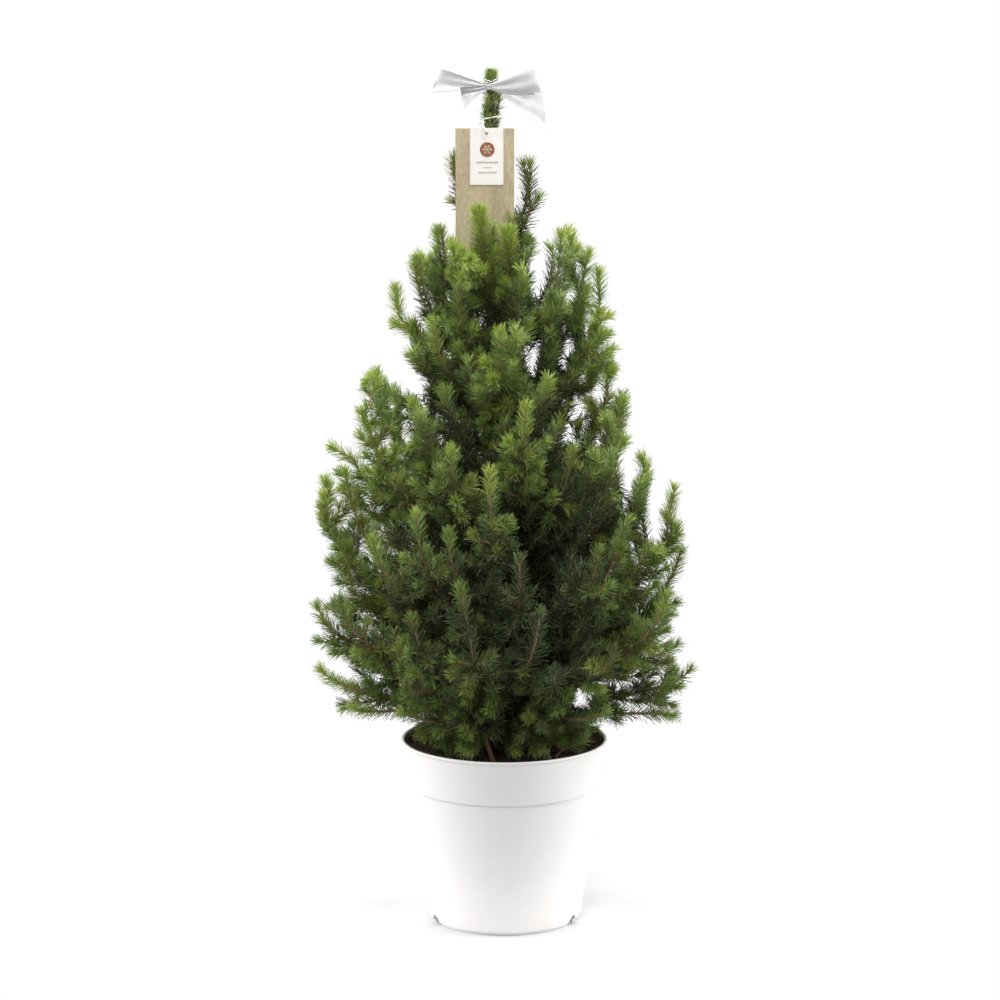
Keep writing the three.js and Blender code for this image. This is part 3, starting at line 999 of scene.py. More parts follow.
# ---------------------------------------------------------------- twigs and needles
def line_object(name, lines):
    """An object of loose lines. Each line is a list of (point, {attribute: value})."""
    points, edges, values = [], [], {}
    for line in lines:
        for i, (point, facts) in enumerate(line):
            if i:
                edges.append((len(points) - 1, len(points)))
            points.append(tuple(point))
            for key, value in facts.items():
                values.setdefault(key, []).append(value)
    mesh = bpy.data.meshes.new(name)
    mesh.from_pydata(points, edges, [])
    for key, column in values.items():
        mesh.attributes.new(key, "FLOAT", "POINT").data.foreach_set("value", column)
    return add_object(name, mesh)
def grown_piece(name, lines, tree, values, slot, *nodes, soft=True):
    """A piece that a tree makes from loose lines."""
    carrier = line_object(name + "_lines", lines)
    mesh = run_tree(carrier, tree, values, name)
    bpy.data.objects.remove(carrier)
    return add_piece(name, mesh, values["Material"], slot, *nodes, soft=soft)


def twig_tree():
    """Round skins along lines, as thick as the lines' own attribute says."""
    tree, given = geometry_tree("twig skin", Sides="Int", Material="Material")
    line = node(tree, "GeometryNodeMeshToCurve", {0: given["Geometry"]}).outputs[0]
    ring = node(tree, "GeometryNodeCurvePrimitiveCircle", {
        "Resolution": given["Sides"], "Radius": 1.0}).outputs[0]
    skin = node(tree, "GeometryNodeCurveToMesh", {
        "Curve": line, "Profile Curve": ring, "Scale": attribute(tree, "thick"), "Fill Caps": True})
    return finish_tree(tree, skin.outputs[0], given["Material"])


def needle_tree():
    """Needles round a line: a spiral of one small mesh, leaning by the line's own attribute."""
    tree, given = geometry_tree(
        "needle brush", Spacing="Float", Length="Float", Width="Float", Needle="Object", Seed="Int",
        Material="Material")
    line = node(tree, "GeometryNodeMeshToCurve", {0: given["Geometry"]}).outputs[0]
    even = node(tree, "GeometryNodeResampleCurve", {"Curve": line, "Length": given["Spacing"]},
                mode="LENGTH")
    spots = node(tree, "GeometryNodeCurveToPoints", {"Curve": even.outputs[0]}, mode="EVALUATED")
    index = node(tree, "GeometryNodeInputIndex").outputs[0]

    def chance(low, high, offset):
        seed = maths(tree, "ADD", given["Seed"], float(offset))
        return node(tree, "FunctionNodeRandomValue", {2: low, 3: high, "Seed": seed},
                    data_type="FLOAT").outputs[1]

    def turned(rotation, axis, angle):
        by = node(tree, "FunctionNodeAxisAngleToRotation", {"Axis": axis, "Angle": angle}).outputs[0]
        return node(tree, "FunctionNodeRotateRotation", {"Rotation": rotation, "Rotate By": by},
                    rotation_space="LOCAL").outputs[0]

    spin = maths(tree, "ADD", maths(tree, "MULTIPLY", index, GOLDEN), chance(-0.5, 0.5, 0))
    about = turned(spots.outputs["Rotation"], (0, 0, 1), spin)
    leaning = turned(about, (1, 0, 0), maths(tree, "ADD", attribute(tree, "lean"), chance(-0.2, 0.2, 1)))
    rolled = turned(leaning, (0, 0, 1), chance(0.0, math.pi, 4))
    size = maths(tree, "MULTIPLY", given["Length"], attribute(tree, "size"))
    long = maths(tree, "MULTIPLY", size, chance(0.78, 1.12, 2))
    wide = maths(tree, "MULTIPLY", given["Width"], chance(0.85, 1.15, 3))
    scale = node(tree, "ShaderNodeCombineXYZ", {0: wide, 1: wide, 2: long}).outputs[0]
    shape = node(tree, "GeometryNodeObjectInfo", {"Object": given["Needle"]}).outputs["Geometry"]
    placed = node(tree, "GeometryNodeInstanceOnPoints", {
        "Points": spots.outputs["Points"], "Instance": shape, "Rotation": rolled, "Scale": scale})
    return finish_tree(tree, placed.outputs[0], given["Material"])


def needle_shape():
    """A needle one unit long: a narrow blade that twists and tapers from its foot to its tip."""
    return add_object("needle_shape", mesh_from(
        "needle_shape", [(-0.5, 0, 0), (0.5, 0, 0), (0.14, 0.20, 1), (-0.14, -0.20, 1)],
        [(0, 1, 2), (0, 2, 3)]))


# The greens run from bright to shade partly with the age of the growth and partly as painted light and
# painted shade, by where the needles grow.
# Each green: how far apart its needles stand in millimetres, how wide they are to the usual
# width, and the slot that they take their finish from.
GREENS = {
    "bright": (0.145, 1.17, "foliage_upper"),
    "fresh": (0.155, 1.17, "foliage_upper"),
    "fresh_cool": (0.155, 1.17, "foliage_upper"),
    "middle": (0.195, 1.15, "foliage_middle"),
    "middle_warm": (0.195, 1.15, "foliage_middle"),
    "deep": (0.27, 1.25, "foliage_lower"),
    "shade": (0.50, 1.8, "foliage_lower"),
}


# How much of a shoot's end is this year's growth, least and most, by its branching order.
FRESH = ((0.016, 0.042), (0.010, 0.032), (0.007, 0.020), (0.005, 0.013))

NOSE = 0.009
TUFT = 0.0055


class SPRUCE_OT_twigs(bpy.types.Operator):
    """Skins every shoot of the crown with thin bark"""
    bl_idname = "spruce.twigs"
    bl_label = "Twigs"

    def execute(self, context):
        young = material("young_twig", (0.35, 0.225, 0.105), 0.7)
        old = material("old_twig", (0.27, 0.165, 0.092), 0.85)
        tree = twig_tree()
        for name, bark, sides, orders in (
                ("twigs_old", old, 5, (0,)), ("twigs_young", young, 3, (1, 2, 3))):
            lines = [self.tapering(s) for s in crown().shoots if s.order in orders and not s.cut]
            grown_piece(name, lines, tree, {"Sides": sides, "Material": bark}, "bark")
        return {"FINISHED"}

    def tapering(self, shoot):
        last = len(shoot.points) - 1
        return [(p, {"thick": shoot.thick + (shoot.thin - shoot.thick) * (i / last) ** 0.7})
                for i, p in enumerate(shoot.points)]


class SPRUCE_OT_needles(bpy.types.Operator):
    """Clothes the shoots in needles, in sprays of a few greens"""
    bl_idname = "spruce.needles"
    bl_label = "Needles"

    def execute(self, context):
        foliage = settings("foliage")
        rng = random.Random(foliage.seed + 1)
        sprays = {green: [] for green in GREENS}
        for shoot in crown().shoots:
            self.deal(shoot, rng, sprays)
        # The greens: new growth and painted light at the bright end, painted shade at the deep and shade
        # end.
        colours = {
            "bright": foliage.tip_colour, "fresh": (0.305, 0.395, 0.090),
            "fresh_cool": (0.225, 0.325, 0.088), "middle": (0.200, 0.272, 0.068),
            "middle_warm": (0.245, 0.285, 0.068), "deep": (0.129, 0.168, 0.052),
            "shade": foliage.shade_colour}
        tree = needle_tree()
        shape = needle_shape()
        room = MOST_FACES / len(shape.data.polygons)
        masses = [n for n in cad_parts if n.startswith("mass_")]
        for seed, (green, (spacing, wide, slot)) in enumerate(GREENS.items()):
            paint = material(f"needle_{green}", colours[green], 0.42,
                             Specular_IOR_Level=0.45 if slot == "foliage_upper" else 0.32)
            step = spacing * MM
            for number, lot in enumerate(portions(sprays[green], step, room)):
                grown_piece(f"needles_{green}_{number + 1}", lot, tree, {
                    "Spacing": step, "Length": foliage.needle_length,
                    "Width": foliage.needle_width * wide, "Needle": shape,
                    "Seed": 10 * seed + number, "Material": paint}, slot, *masses, soft=False)
                masses = []
        bpy.data.objects.remove(shape)
        return {"FINISHED"}

    def deal(self, shoot, rng, sprays):
        """Splits a shoot into runs of one green each, from its shaded foot to its fresh tip.

        An outer shoot also ends in a tuft of needles that lean forward."""
        lot = rng.uniform(-0.14, 0.14)
        cool = rng.random() < 0.33
        warm = rng.random() < 0.33
        fresh = rng.uniform(*FRESH[shoot.order])
        total = shoot.length()
        dense = [shoot.points[0]]
        for a, b in zip(shoot.points, shoot.points[1:]):
            parts = max(1, round((b - a).length / 0.0022))
            dense += [a.lerp(b, (k + 1) / parts) for k in range(parts)]
        size = shoot.needle * (1.0 - 0.12 * (shoot.order == 3))
        gone = 0.0
        before = None
        run = []
        tuft = []
        for i, p in enumerate(dense):
            if i:
                gone += (p - dense[i - 1]).length
            to_tip = max(0.0, total - gone)
            bald = shoot.cut or gone < shoot.bare or in_gap(p)
            green = None if bald else self.green_at(p, to_tip, fresh, shoot, lot, cool, warm)
            nose = min(1.0, to_tip / NOSE)
            lean = 32 + 10 * nose + 7 * min(1.0, to_tip / 0.06)
            if green != before:
                run = []
                if green:
                    sprays[green].append(run)
            if green:
                run.append((p, {"lean": math.radians(lean), "size": size * (0.88 + 0.12 * nose)}))
            before = green
            if green and to_tip < TUFT and shoot.order < 3 and not shoot.inner:
                share = to_tip / TUFT
                tuft.append((p, {
                    "lean": math.radians(13 + 20 * share), "size": size * (0.78 + 0.1 * share)}))
        if tuft and before:
            sprays[before].append(tuft)

    def green_at(self, place, to_tip, fresh, shoot, lot, cool, warm):
        """The green of the needles here, by how far out, how high and how near a tip they grow: new growth
        near a tip is lighter, painted light makes the needles lighter far out and high up, and painted
        shade makes inner shoots darker.
        """
        out = min(1.0, place.xy.length / max(crown().width_at(place.z), 0.02))
        high = (place.z - SOIL_TOP) / (TREE_TOP - SOIL_TOP)
        # Painted light far out and high up, painted shade on inner shoots; lot is each shoot's own random
        # tone.
        value = 0.72 * max(0.0, out - 0.35) + 0.50 * high - 0.02 + lot - 0.2 * shoot.inner
        if to_tip < fresh:
            value += (0.30 if shoot.order < 3 else 0.2) * (1 - 0.5 * to_tip / fresh)
        # Painted shade in the hollow and on the outside low down, painted light low in the front.
        value += (shoot.tone - 0.48 * hollow(place) - 0.27 * out * max(0.0, 1 - high / 0.5)
                  + 0.20 * low_front(place))
        if value > 0.74:
            return "bright"
        if value > 0.56:
            return "fresh_cool" if cool else "fresh"
        if value > 0.36:
            return "middle_warm" if warm else "middle"
        return "deep" if value > 0.18 else "shade"


def low_front(place):
    """How far a place is in the open light low in the front, from 0 to 1."""
    return max(0.0, 1 - abs(place.z - 0.215) / 0.05) if place.y < 0 else 0.0


def hollow(place):
    """How deep a place lies in the shaded hollow low in the middle of the front, from 0 to 1."""
    across = (place.x - 0.012) / 0.072
    up = (place.z - 0.312) / 0.084
    return math.exp(-across * across - up * up) if place.y < 0 else 0.0


def portions(lines, step, room):
    """The lines in lots that each carry no more needles than there is room for."""
    lots = [[]]
    count = 0
    for line in lines:
        if len(line) < 2:
            continue
        need = sum((b[0] - a[0]).length for a, b in zip(line, line[1:])) / step + 2
        if count + need > room:
            lots.append([])
            count = 0
        lots[-1].append(line)
        count += need
    return [lot for lot in lots if lot]


# ---------------------------------------------------------------- trunk, stem and boughs
def bark_limb(centres, radii, sides, seed, relief, flat_foot=False):
    """Points and faces of one limb with ridged, flaking bark, closed at both ends."""
    rng = random.Random(seed)
    phases = [rng.uniform(0, 2 * math.pi) for _ in range(8)]
    points, faces = [], []
    gone = 0.0
    for i, (centre, radius) in enumerate(zip(centres, radii)):
        before, after = centres[max(0, i - 1)], centres[min(len(centres) - 1, i + 1)]
        along = UP if flat_foot and i == 0 else (after - before).normalized()
        side = along.cross(Vector((0, 1, 0))).normalized()
        other = along.cross(side).normalized()
        if i:
            gone += (centre - centres[i - 1]).length
        for k in range(sides):
            a = 2 * math.pi * k / sides
            ridge = (math.sin(5 * a + phases[0] + 40 * gone)
                     * math.sin(gone * 330 + phases[1] + 2 * math.sin(3 * a)))
            flake = math.sin(11 * a + phases[2] + gone * 150) * math.sin(gone * 700 + phases[3] + a)
            r = radius * (1 + relief * (0.6 * ridge + 0.4 * flake)
                          + 0.04 * math.sin(2 * a + phases[4] + gone * 20))
            points.append(centre + (side * math.cos(a) + other * math.sin(a)) * r)
    last = (len(centres) - 1) * sides
    for start in range(0, last, sides):
        faces += band(start, start + sides, sides)
    faces += [tuple(range(sides)), tuple(reversed(range(last, last + sides)))]
    return points, faces


def bough_line(name):
    """Centres along a CAD limb, from its foot to its end."""
    points = node_mesh(name)[0]
    tip = max(points, key=lambda p: (p - trunk_at(p.z)[0]).length)
    foot = sum(sorted(points, key=lambda p: -(p - tip).length)[:5], Vector()) / 5
    middle = [p for p in points if 0.3 < (p - foot).dot(tip - foot) / (tip - foot).length_squared < 0.7]
    bend = sum(middle, Vector()) / len(middle) if middle else foot.lerp(tip, 0.5)
    centres = [foot.lerp(bend, t).lerp(bend.lerp(tip, t), t) for t in np.linspace(0, 1, 16)]
    first, last = (p.z if name == "stem_front" else p.xy.length for p in (centres[0], centres[-1]))
    return centres[::-1] if first > last else centres


class SPRUCE_OT_wood(bpy.types.Operator):
    """Gives the trunk, the front stem and the boughs their bark"""
    bl_idname = "spruce.wood"
    bl_label = "Trunk and boughs"

    def execute(self, context):
        bark = mottled("spruce_bark", (0.055, 0.035, 0.025), (0.21, 0.145, 0.10),
                       160, 900, 0.9, 0.0006, stretch=(1, 1, 0.45))
        young = mottled("young_bark", (0.13, 0.062, 0.033), (0.33, 0.18, 0.095),
                        260, 1100, 0.8, 0.0004, stretch=(1, 1, 0.4))
        centres, radii = zip(*(trunk_at(z) for z in np.arange(HEIGHTS[0], HEIGHTS[-1], 0.0025)))
        points, faces = bark_limb(centres, radii, 22, 21, 0.09, flat_foot=True)
        mesh = recalculate(mesh_from("trunk_bark", points, faces))
        add_piece("trunk_bark", mesh, bark, "bark", "trunk")
        boughs = sorted(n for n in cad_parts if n.startswith("bough_"))
        self.limbs("bough_bark", boughs, 0.0040, 0.0024, bark)
        self.limbs("stem_bark", ["stem_front"], 0.0023, 0.0017, young)
        return {"FINISHED"}

    def limbs(self, piece, names, thick, thin, bark):
        """One piece of tapering limbs, each along the middle of its node."""
        all_points = []
        all_faces = []
        for seed, name in enumerate(names):
            centres = bough_line(name)
            radii = np.linspace(thick, thin, len(centres))
            points, faces = bark_limb(centres, radii, 12, 30 + seed, 0.10)
            all_faces += [tuple(len(all_points) + v for v in f) for f in faces]
            all_points += points
        mesh = recalculate(mesh_from(piece, all_points, all_faces))
        add_piece(piece, mesh, bark, "bark", *names)


# ---------------------------------------------------------------- bow
def ribbon(name, place, rows, cells=16):
    """A ribbon whose points are place(t, v), with t along it and v across it, both from 0 to 1."""
    points = []
    uvs = []
    for i in range(rows + 1):
        for j in range(cells + 1):
            points.append(place(i / rows, j / cells))
            uvs.append((i / rows, j / cells))
    wide = cells + 1
    faces = []
    for i in range(rows):
        for j in range(cells):
            a = i * wide + j
            faces.append((a, a + 1, a + wide + 1, a + wide))
    mesh = mesh_from(name, points, faces)
    layer = mesh.uv_layers.new(name="cloth")
    for loop in mesh.loops:
        layer.data[loop.index].uv = uvs[loop.vertex_index]
    return mesh


def curved(a, b, c, t):
    """The place at t on the curve from a to c that b pulls."""
    return a * (1 - t) ** 2 + b * (2 * t * (1 - t)) + c * t * t


def organza(name, cover, dark=0.50, light=0.74):
    """Sheer silver-white ribbon: fine glittering cloth that lets some light through."""
    made = material(name, (0.62, 0.62, 0.63), 0.4, Specular_IOR_Level=0.6)
    tree = made.node_tree
    place = node(tree, "ShaderNodeTexCoord").outputs
    threads = noise(tree, place["Object"], 1600.0, 3.0, Roughness=0.7)
    both = maths(tree, "ADD", threads, noise(tree, place["Object"], 160.0, 2.0))
    across = node(tree, "ShaderNodeSeparateXYZ", {0: place["UV"]}).outputs["Y"]
    away = maths(tree, "ABSOLUTE", maths(tree, "SUBTRACT", across, 0.5))
    hem = mapped(tree, away, 0.465, 0.48, 0.0, 0.25)
    thick = mapped(tree, both, 0.75, 1.25, cover - 0.16, cover + 0.16)
    # The lighter, smoother specks are partly the silvery threads' own colour and partly painted glints.
    feed(made, Alpha=maths(tree, "ADD", thick, hem, use_clamp=True),
         Roughness=mapped(tree, threads, 0.45, 0.7, 0.5, 0.2),
         Base_Color=blended(tree, threads, (dark, dark, dark * 1.02, 1), (light, light, light * 1.02, 1)),
         Normal=relief(tree, both, 0.00015))
    return made


class SPRUCE_OT_bow(bpy.types.Operator):
    """Ties the organza bow round the leader, below its tip"""
    bl_idname = "spruce.bow"
    bl_label = "Bow"

    def execute(self, context):
        bow = settings("bow")
        cloth = organza("organza", 0.76)
        # Painted shade: a darker, less sheer copy of the cloth for the small loop, where layers lie behind
        # it.
        shaded_cloth = organza("organza_fold", 0.80, 0.34, 0.52)
        sheer = organza("organza_sheer", 0.34, 0.66, 0.92)
        veil = organza("organza_veil", 0.20, 0.62, 0.90)
        centre, radius = trunk_at(TREE_TOP - bow.drop)
        knot = centre + Vector((-0.002, -radius - 0.004, 0))
        for side, upper, lower, belly, forward, weave in (
                ("left", (-0.0425, 0.0170), (-0.0505, -0.0050), (-0.025, -0.0025), 0.0, cloth),
                ("right", (0.0405, 0.0200), (0.0470, -0.0050), (0.024, -0.0110), 0.0, cloth),
                ("small", (-0.0255, 0.0000), (-0.0235, -0.0085), (-0.012, -0.0075), -0.0055, shaded_cloth)):
            self.loop("bow_loop_" + side, knot, upper, lower, belly, forward, weave)
        self.tail("bow_tail_right", knot, (0.0480, -0.0060), (0.0510, -0.0370), 0.2, sheer)
        self.tail("bow_tail_left", knot, (-0.0255, -0.0060), (-0.0215, -0.0190), 1.9, veil)
        self.knot(knot, radius, cloth)
        return {"FINISHED"}

    def sheet(self, mesh, cloth):
        obj = add_object(mesh.name, mesh, cloth)
        smooth(obj)
        solid = obj.modifiers.new("thickness", "SOLIDIFY")
        solid.thickness = 0.00018
        solid.offset = 0
        finish_piece(obj, "ribbon")
        return obj

    def loop(self, name, knot, upper, lower, belly, forward, cloth):
        """A ribbon loop: out in front, round its end and back behind to the knot.

        Its end reaches from the upper to the lower corner, the belly pulls its lower edge, and the
        whole loop swings forward on the way to its end."""
        upper, lower, belly = (Vector((x, 0, z)) for x, z in (upper, lower, belly))
        waist = UP * 0.0017
        depth = 0.0085 * min(1.0, upper.length / 0.04)
        phase = 1.5 * math.copysign(1, upper.x)

        def place(t, v):
            turn = math.sin(math.pi * t)
            far = turn ** 0.85
            front = math.copysign(1, 0.5 - t)
            high = waist.lerp(upper, far)
            low = curved(-waist, belly, lower, far)
            pleat = 0.0008 * min(1.0, 3 * far) * (1 - 0.6 * far) * math.sin(11 * v + phase)
            wave = 0.0013 * far * math.sin(4.5 * v + 3 * t + phase)
            deep = -depth * math.cos(math.pi * t) * turn ** 0.5 - 0.001
            return knot + low.lerp(high, v) + Vector((0, deep + forward * far + front * (pleat + wave), 0))

        return self.sheet(ribbon(name, place, 44, 24), cloth)

    def tail(self, name, knot, upper, lower, phase, cloth):
        """A ribbon end that flares from the knot to its slanting cut."""
        upper, lower = (Vector((x, 0, z)) for x, z in (upper, lower))
        waist = UP * 0.0017

        def place(t, v):
            high = waist.lerp(upper, t)
            low = curved(-waist, lower * 0.42 + UP * 0.003, lower, t)
            folds = 0.0016 * (1 - 0.5 * t) * math.sin(10 * v + phase) + 0.0016 * t * math.sin(7 * t + 5 * v)
            return knot + low.lerp(high, v) + Vector((0, 0.002 + min(1.0, 4 * t) * folds - 0.006 * t, 0))

        return self.sheet(ribbon(name, place, 26, 20), cloth)

    def knot(self, knot, radius, cloth):
        """A crossed band at the middle, and the wire that ties it to the leader."""
        def place(t, v):
            a = 2 * math.pi * t
            swell = 1 + 0.12 * math.sin(14 * v + a)
            return knot + Vector((
                0.0033 * swell * math.cos(a), 0.0031 * swell * math.sin(a), 0.0052 * (v - 0.5)))

        self.sheet(ribbon("bow_knot", place, 28, 8), cloth)
        wire = material("tie_wire", (0.82, 0.82, 0.83), 0.35)
        centre = trunk_at(knot.z)[0]
        reach = radius + 0.0040
        line = []
        for a in np.linspace(0, 4 * math.pi, 60):
            rise = 0.0012 + 0.0003 * a + 0.0022 * abs(math.cos(a))
            line.append((Vector((
                centre.x + reach * math.cos(a), centre.y + reach * math.sin(a), knot.z + rise)),
                {"thick": 0.0005}))
        grown_piece("bow_tie", [line], twig_tree(), {"Sides": 6, "Material": wire}, "ribbon", soft=False)


# ---------------------------------------------------------------- hang tag
def plate(name, width, height, thick, corner):
    """A flat card with small round corners, its face towards -Y and its top edge at zero height."""
    outline = []
    for x, z, start in ((1, 0, 0), (-1, 0, 90), (-1, -1, 180), (1, -1, 270)):
        middle = (x * (width / 2 - corner), z * height + (corner if z else -corner))
        outline += arc(middle, corner, start, start + 90, 4)
    count = len(outline)
    points = [(x, y, z) for y in (-thick / 2, thick / 2) for x, z in outline]
    faces = [tuple(range(count)), tuple(reversed(range(count, 2 * count))), *band(0, count, count)]
    return recalculate(mesh_from(name, points, faces))


# The blank rules on the label: how far each lies below the hole, its width and its height.
RULES = ((0.0250, 0.0195, 0.0016), (0.0300, 0.0080, 0.0008), (0.0340, 0.0165, 0.0014))


class SPRUCE_OT_tag(bpy.types.Operator):
    """Hangs the plain kraft tag with its blank label on the leader"""
    bl_idname = "spruce.tag"
    bl_label = "Hang tag"

    def execute(self, context):
        tag = settings("tag")
        kraft = mottled("kraft_card", (0.36, 0.29, 0.175), (0.53, 0.46, 0.31), 60, 520, 0.85, 0.00006,
                        stretch=(1, 1, 0.3))
        paper = mottled("label_paper", (0.80, 0.755, 0.71), (0.89, 0.85, 0.815), 90, 1400, 0.8, 0.00003)
        copper = mottled("copper_print", (0.20, 0.072, 0.035), (0.38, 0.155, 0.07),
                         300, 1500, 0.45, 0.00003, Metallic=0.3)
        pale = material("pale_print", (0.80, 0.62, 0.44), 0.5)
        grey = material("grey_print", (0.50, 0.475, 0.455), 0.7)
        top = TREE_TOP - tag.drop
        centre, radius = trunk_at(top - 0.02)
        face = centre.y - 0.017
        middle = centre.x - 0.0055
        hole = Vector((middle + tag.label_shift, face, top - 0.004))
        self.card("tag_card", plate("tag_card", tag.width, tag.height, 0.0007, 0.0006),
                  Vector((middle, face, top)), kraft, hole)
        self.card("tag_label", plate("tag_label", 0.0295, 0.050, 0.0004, 0.0004),
                  Vector((middle + tag.label_shift, face - 0.0008, top + 0.0004)), paper, hole)
        disc = lathe("tag_disc", [(0, 0), (0.0058, 0), (0.0064, 0.0001), (0.0064, 0.00028),
                                  (0.0058, 0.0004), (0.0054, 0.00028), (0, 0.00028)], 48)
        seal = Vector((hole.x + 0.0004, face - 0.001, hole.z - 0.0145))
        self.print_on(disc, seal, copper)
        self.print_on(self.snowflake(0.0046), seal - Vector((0, 0.0003, 0)), pale)
        for number, (drop, width, thick) in enumerate(RULES):
            rule = plate(f"tag_rule_{number + 1}", width, thick, 0.00012, 0.0002)
            rule.transform(Matrix.Translation((hole.x + 0.0004, face - 0.00104, hole.z - drop)))
            add_piece(rule.name, rule, grey, "card", soft=False)
        self.string(hole, radius)
        return {"FINISHED"}

    def card(self, name, mesh, place, paper, hole):
        """A card with a punched hole, moved to its place."""
        mesh.transform(Matrix.Translation(place))
        obj = add_object(name, mesh, paper)
        punch = lathe("punch", [(0, -0.004), (0.0016, -0.004), (0.0016, 0.004), (0, 0.004)], 20)
        punch.transform(Matrix.Translation(hole) @ Matrix.Rotation(math.pi / 2, 4, "X"))
        carve(obj, [add_object("punch", recalculate(punch))], paper)
        finish_piece(obj, "card")

    def print_on(self, mesh, place, ink):
        """Something flat made lying down, turned to face -Y at its place."""
        mesh.transform(Matrix.Translation(place) @ Matrix.Rotation(math.pi / 2, 4, "X"))
        add_piece(mesh.name, recalculate(mesh), ink, "card", soft=False)

    def snowflake(self, reach):
        """Six thin arms, each with two pairs of side barbs."""
        points = []
        faces = []

        def bar(start, end, half):
            way = (end - start).normalized()
            side = Vector((-way.y, way.x, 0)) * half
            base = len(points)
            for height in (0, 0.00022):
                points.extend(p + UP * height for p in (start - side, end - side, end + side, start + side))
            faces.extend([(base + 3, base + 2, base + 1, base), (base + 4, base + 5, base + 6, base + 7)])
            faces.extend(band(base, base + 4, 4, turned=True))

        def heading(degrees):
            return Vector((math.cos(math.radians(degrees)), math.sin(math.radians(degrees)), 0))

        for arm in range(0, 360, 60):
            way = heading(arm)
            bar(way * 0.0003, way * reach, 0.00022)
            for share, size in ((0.45, 0.34), (0.72, 0.24)):
                for lean in (-55, 55):
                    bar(way * reach * share, way * reach * share + heading(arm + lean) * reach * size,
                        0.00017)
        return mesh_from("tag_snowflake", points, faces)

    def string(self, hole, radius):
        """A two-ply string from the hole round the leader and back."""
        centre = trunk_at(hole.z + 0.0135)[0]
        reach = radius + 0.0048
        loop = [hole + Vector((0, -0.0015, 0)), hole + Vector((-0.0038, -0.0030, 0.0060))]
        for turn in np.radians(np.linspace(200, 520, 17)):
            loop.append(centre + Vector((
                reach * math.cos(turn), reach * math.sin(turn), 0.0014 * math.sin(turn + 1.2))))
        loop += [hole + Vector((-0.0030, 0.0010, 0.0060)), hole + Vector((0, 0.0018, 0))]
        path = smooth_line(loop, 14)
        plies = []
        for ply in (0, math.pi):
            line = []
            for i, point in enumerate(path):
                along = (path[min(i + 1, len(path) - 1)] - path[max(i - 1, 0)]).normalized()
                side = along.cross(Vector((0.3, 1, 0.2))).normalized()
                other = along.cross(side)
                turn = i * 0.55 + ply
                line.append((point + (side * math.cos(turn) + other * math.sin(turn)) * 0.0003,
                             {"thick": 0.00045}))
            plies.append(line)
        cotton = mottled("cotton_string", (0.70, 0.68, 0.64), (0.90, 0.88, 0.85), 500, 3000, 0.9, 0.00005)
        grown_piece("tag_string", plies, twig_tree(), {"Sides": 6, "Material": cotton}, "card")


def smooth_line(points, steps):
    """A smooth line through the points, with steps between each two."""
    line = []
    for i in range(len(points) - 1):
        a, b = points[max(i - 1, 0)], points[i]
        c, d = points[i + 1], points[min(i + 2, len(points) - 1)]
        for k in range(steps):
            t = k / steps
            line.append(0.5 * (2 * b + (c - a) * t + (2 * a - 5 * b + 4 * c - d) * t * t
                               + (3 * b - a - 3 * c + d) * t ** 3))
    return [*line, points[-1]]


# ---------------------------------------------------------------- stage
AIM = Vector((0, 0, 0.4))

# Each lamp: where it stands, its size and its power.
LAMPS = {
    "left_box": ((-2.2, 0.3, 0.8), 1.5, 40), "right_box": ((2.2, 0.3, 0.8), 1.5, 44),
    "front_box": ((-0.4, -1.9, 2.1), 0.9, 25), "top_box": ((0.0, -0.3, 2.5), 0.9, 54)}


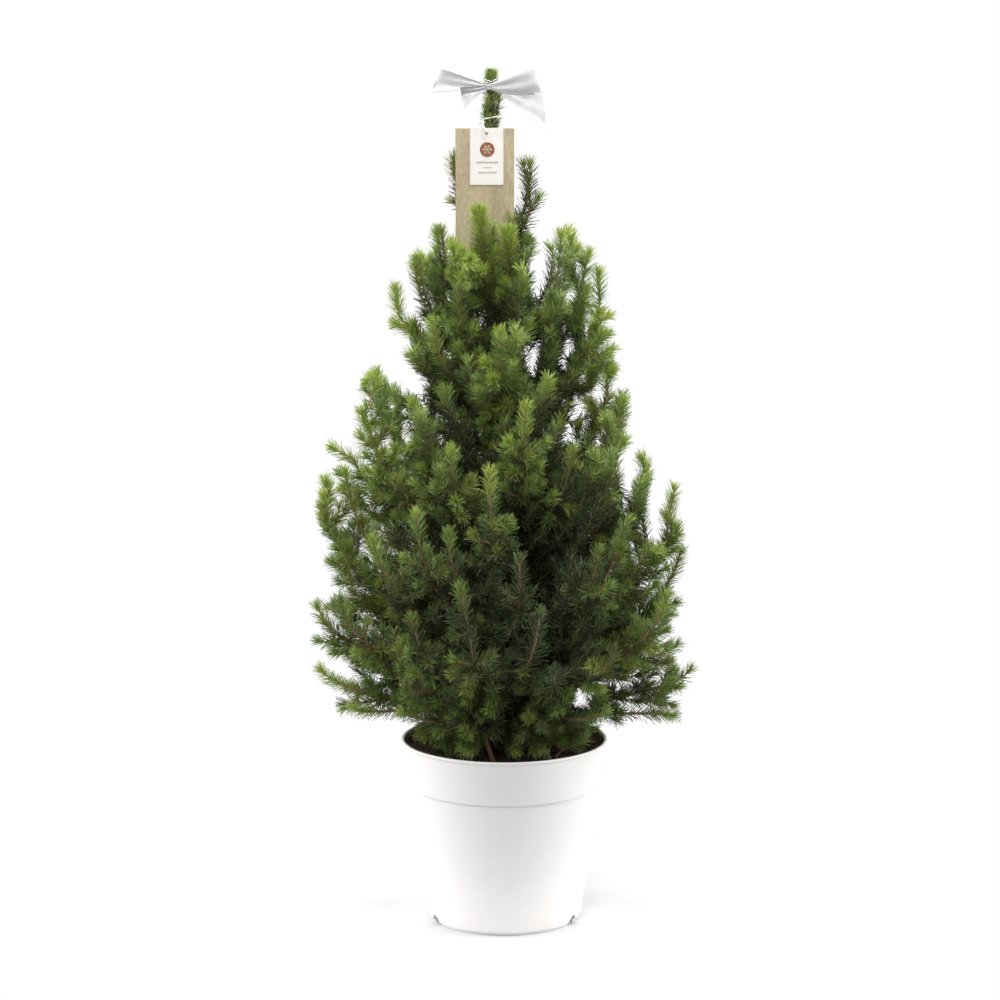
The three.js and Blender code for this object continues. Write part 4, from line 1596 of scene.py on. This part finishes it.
class SPRUCE_OT_stage(bpy.types.Operator):
    """Sets the plain floor, the soft studio light and the camera"""
    bl_idname = "spruce.stage"
    bl_label = "Stage"

    def execute(self, context):
        stage = settings("stage")
        scene = context.scene
        camera = add_object("camera", bpy.data.cameras.new("camera"))
        camera.data.lens = stage.lens
        camera.data.sensor_width = 36
        camera.location = (-0.0039, -stage.distance, stage.height)
        camera.rotation_euler = (math.pi / 2 - stage.tilt, 0, 0)
        scene.camera = camera
        self.studio(scene)
        self.floor(settings("pot").foot_radius)
        for name, (place, size, power) in LAMPS.items():
            obj = add_object(name, bpy.data.lights.new(name, "AREA"))
            obj.data.size = size
            obj.data.energy = power
            obj.location = place
            obj.rotation_euler = (AIM - Vector(place)).to_track_quat("-Z", "Y").to_euler()
        scene.view_settings.view_transform = "Standard"
        return {"FINISHED"}

    def studio(self, scene):
        """White all round to look at, and as light stronger from behind than from the front."""
        world = bpy.data.worlds.new("studio")
        world.use_nodes = True
        tree = world.node_tree
        tree.nodes.clear()
        seen = node(tree, "ShaderNodeLightPath").outputs["Is Camera Ray"]
        way = node(tree, "ShaderNodeTexCoord").outputs["Generated"]
        depth = node(tree, "ShaderNodeSeparateXYZ", {0: way}).outputs["Y"]
        strength = mapped(tree, seen, 0.0, 1.0, mapped(tree, depth, -0.8, 0.8, 0.45, 0.99), 1.0)
        white = node(tree, "ShaderNodeBackground", {"Color": (1, 1, 1, 1), "Strength": strength})
        node(tree, "ShaderNodeOutputWorld", {"Surface": white.outputs[0]})
        scene.world = world

    def floor(self, pot_foot):
        """A round white floor that thins out into the white around it."""
        paper = material("white_floor", (0.76, 0.76, 0.76), 0.9)
        tree = paper.node_tree
        place = node(tree, "ShaderNodeTexCoord").outputs["Object"]
        away = node(tree, "ShaderNodeVectorMath", {0: place}, operation="LENGTH").outputs["Value"]
        feed(paper, Alpha=mapped(tree, away, pot_foot * 1.05, pot_foot * 3.6, 1.0, 0.0,
                                 interpolation_type="SMOOTHSTEP"))
        disc = lathe("floor", [(0, 0), (pot_foot * 4, 0)], 64)
        add_object("floor", disc, paper)


class SPRUCE_PT_panel(bpy.types.Panel):
    """Lists the pieces of the potted spruce"""
    bl_idname = "SPRUCE_PT_panel"
    bl_label = "Potted spruce"
    bl_space_type = "VIEW_3D"
    bl_region_type = "UI"
    bl_category = "Spruce"

    def draw(self, context):
        for step in STEPS:
            self.layout.operator(step.bl_idname)
        for name in SETTINGS:
            group = settings(name)
            for key in group.bl_rna.properties.keys():
                if key not in {"rna_type", "name"}:
                    self.layout.prop(group, key)


SETTINGS = {"pot": PotSettings, "foliage": FoliageSettings, "bow": BowSettings,
            "tag": TagSettings, "stage": StageSettings}
STEPS = (SPRUCE_OT_stage, SPRUCE_OT_pot, SPRUCE_OT_soil, SPRUCE_OT_wood, SPRUCE_OT_twigs, SPRUCE_OT_needles,
         SPRUCE_OT_bow, SPRUCE_OT_tag)


def register():
    for each in (*SETTINGS.values(), *STEPS, SPRUCE_PT_panel):
        bpy.utils.register_class(each)
    for name, group in SETTINGS.items():
        setattr(bpy.types.Scene, "spruce_" + name, PointerProperty(type=group))


def unregister():
    for name in SETTINGS:
        delattr(bpy.types.Scene, "spruce_" + name)
    for each in (SPRUCE_PT_panel, *STEPS, *SETTINGS.values()):
        bpy.utils.unregister_class(each)


def main():
    register()
    for step in STEPS:
        getattr(bpy.ops.spruce, step.bl_idname.split(".")[1])()


if __name__ == "__main__":
    main()
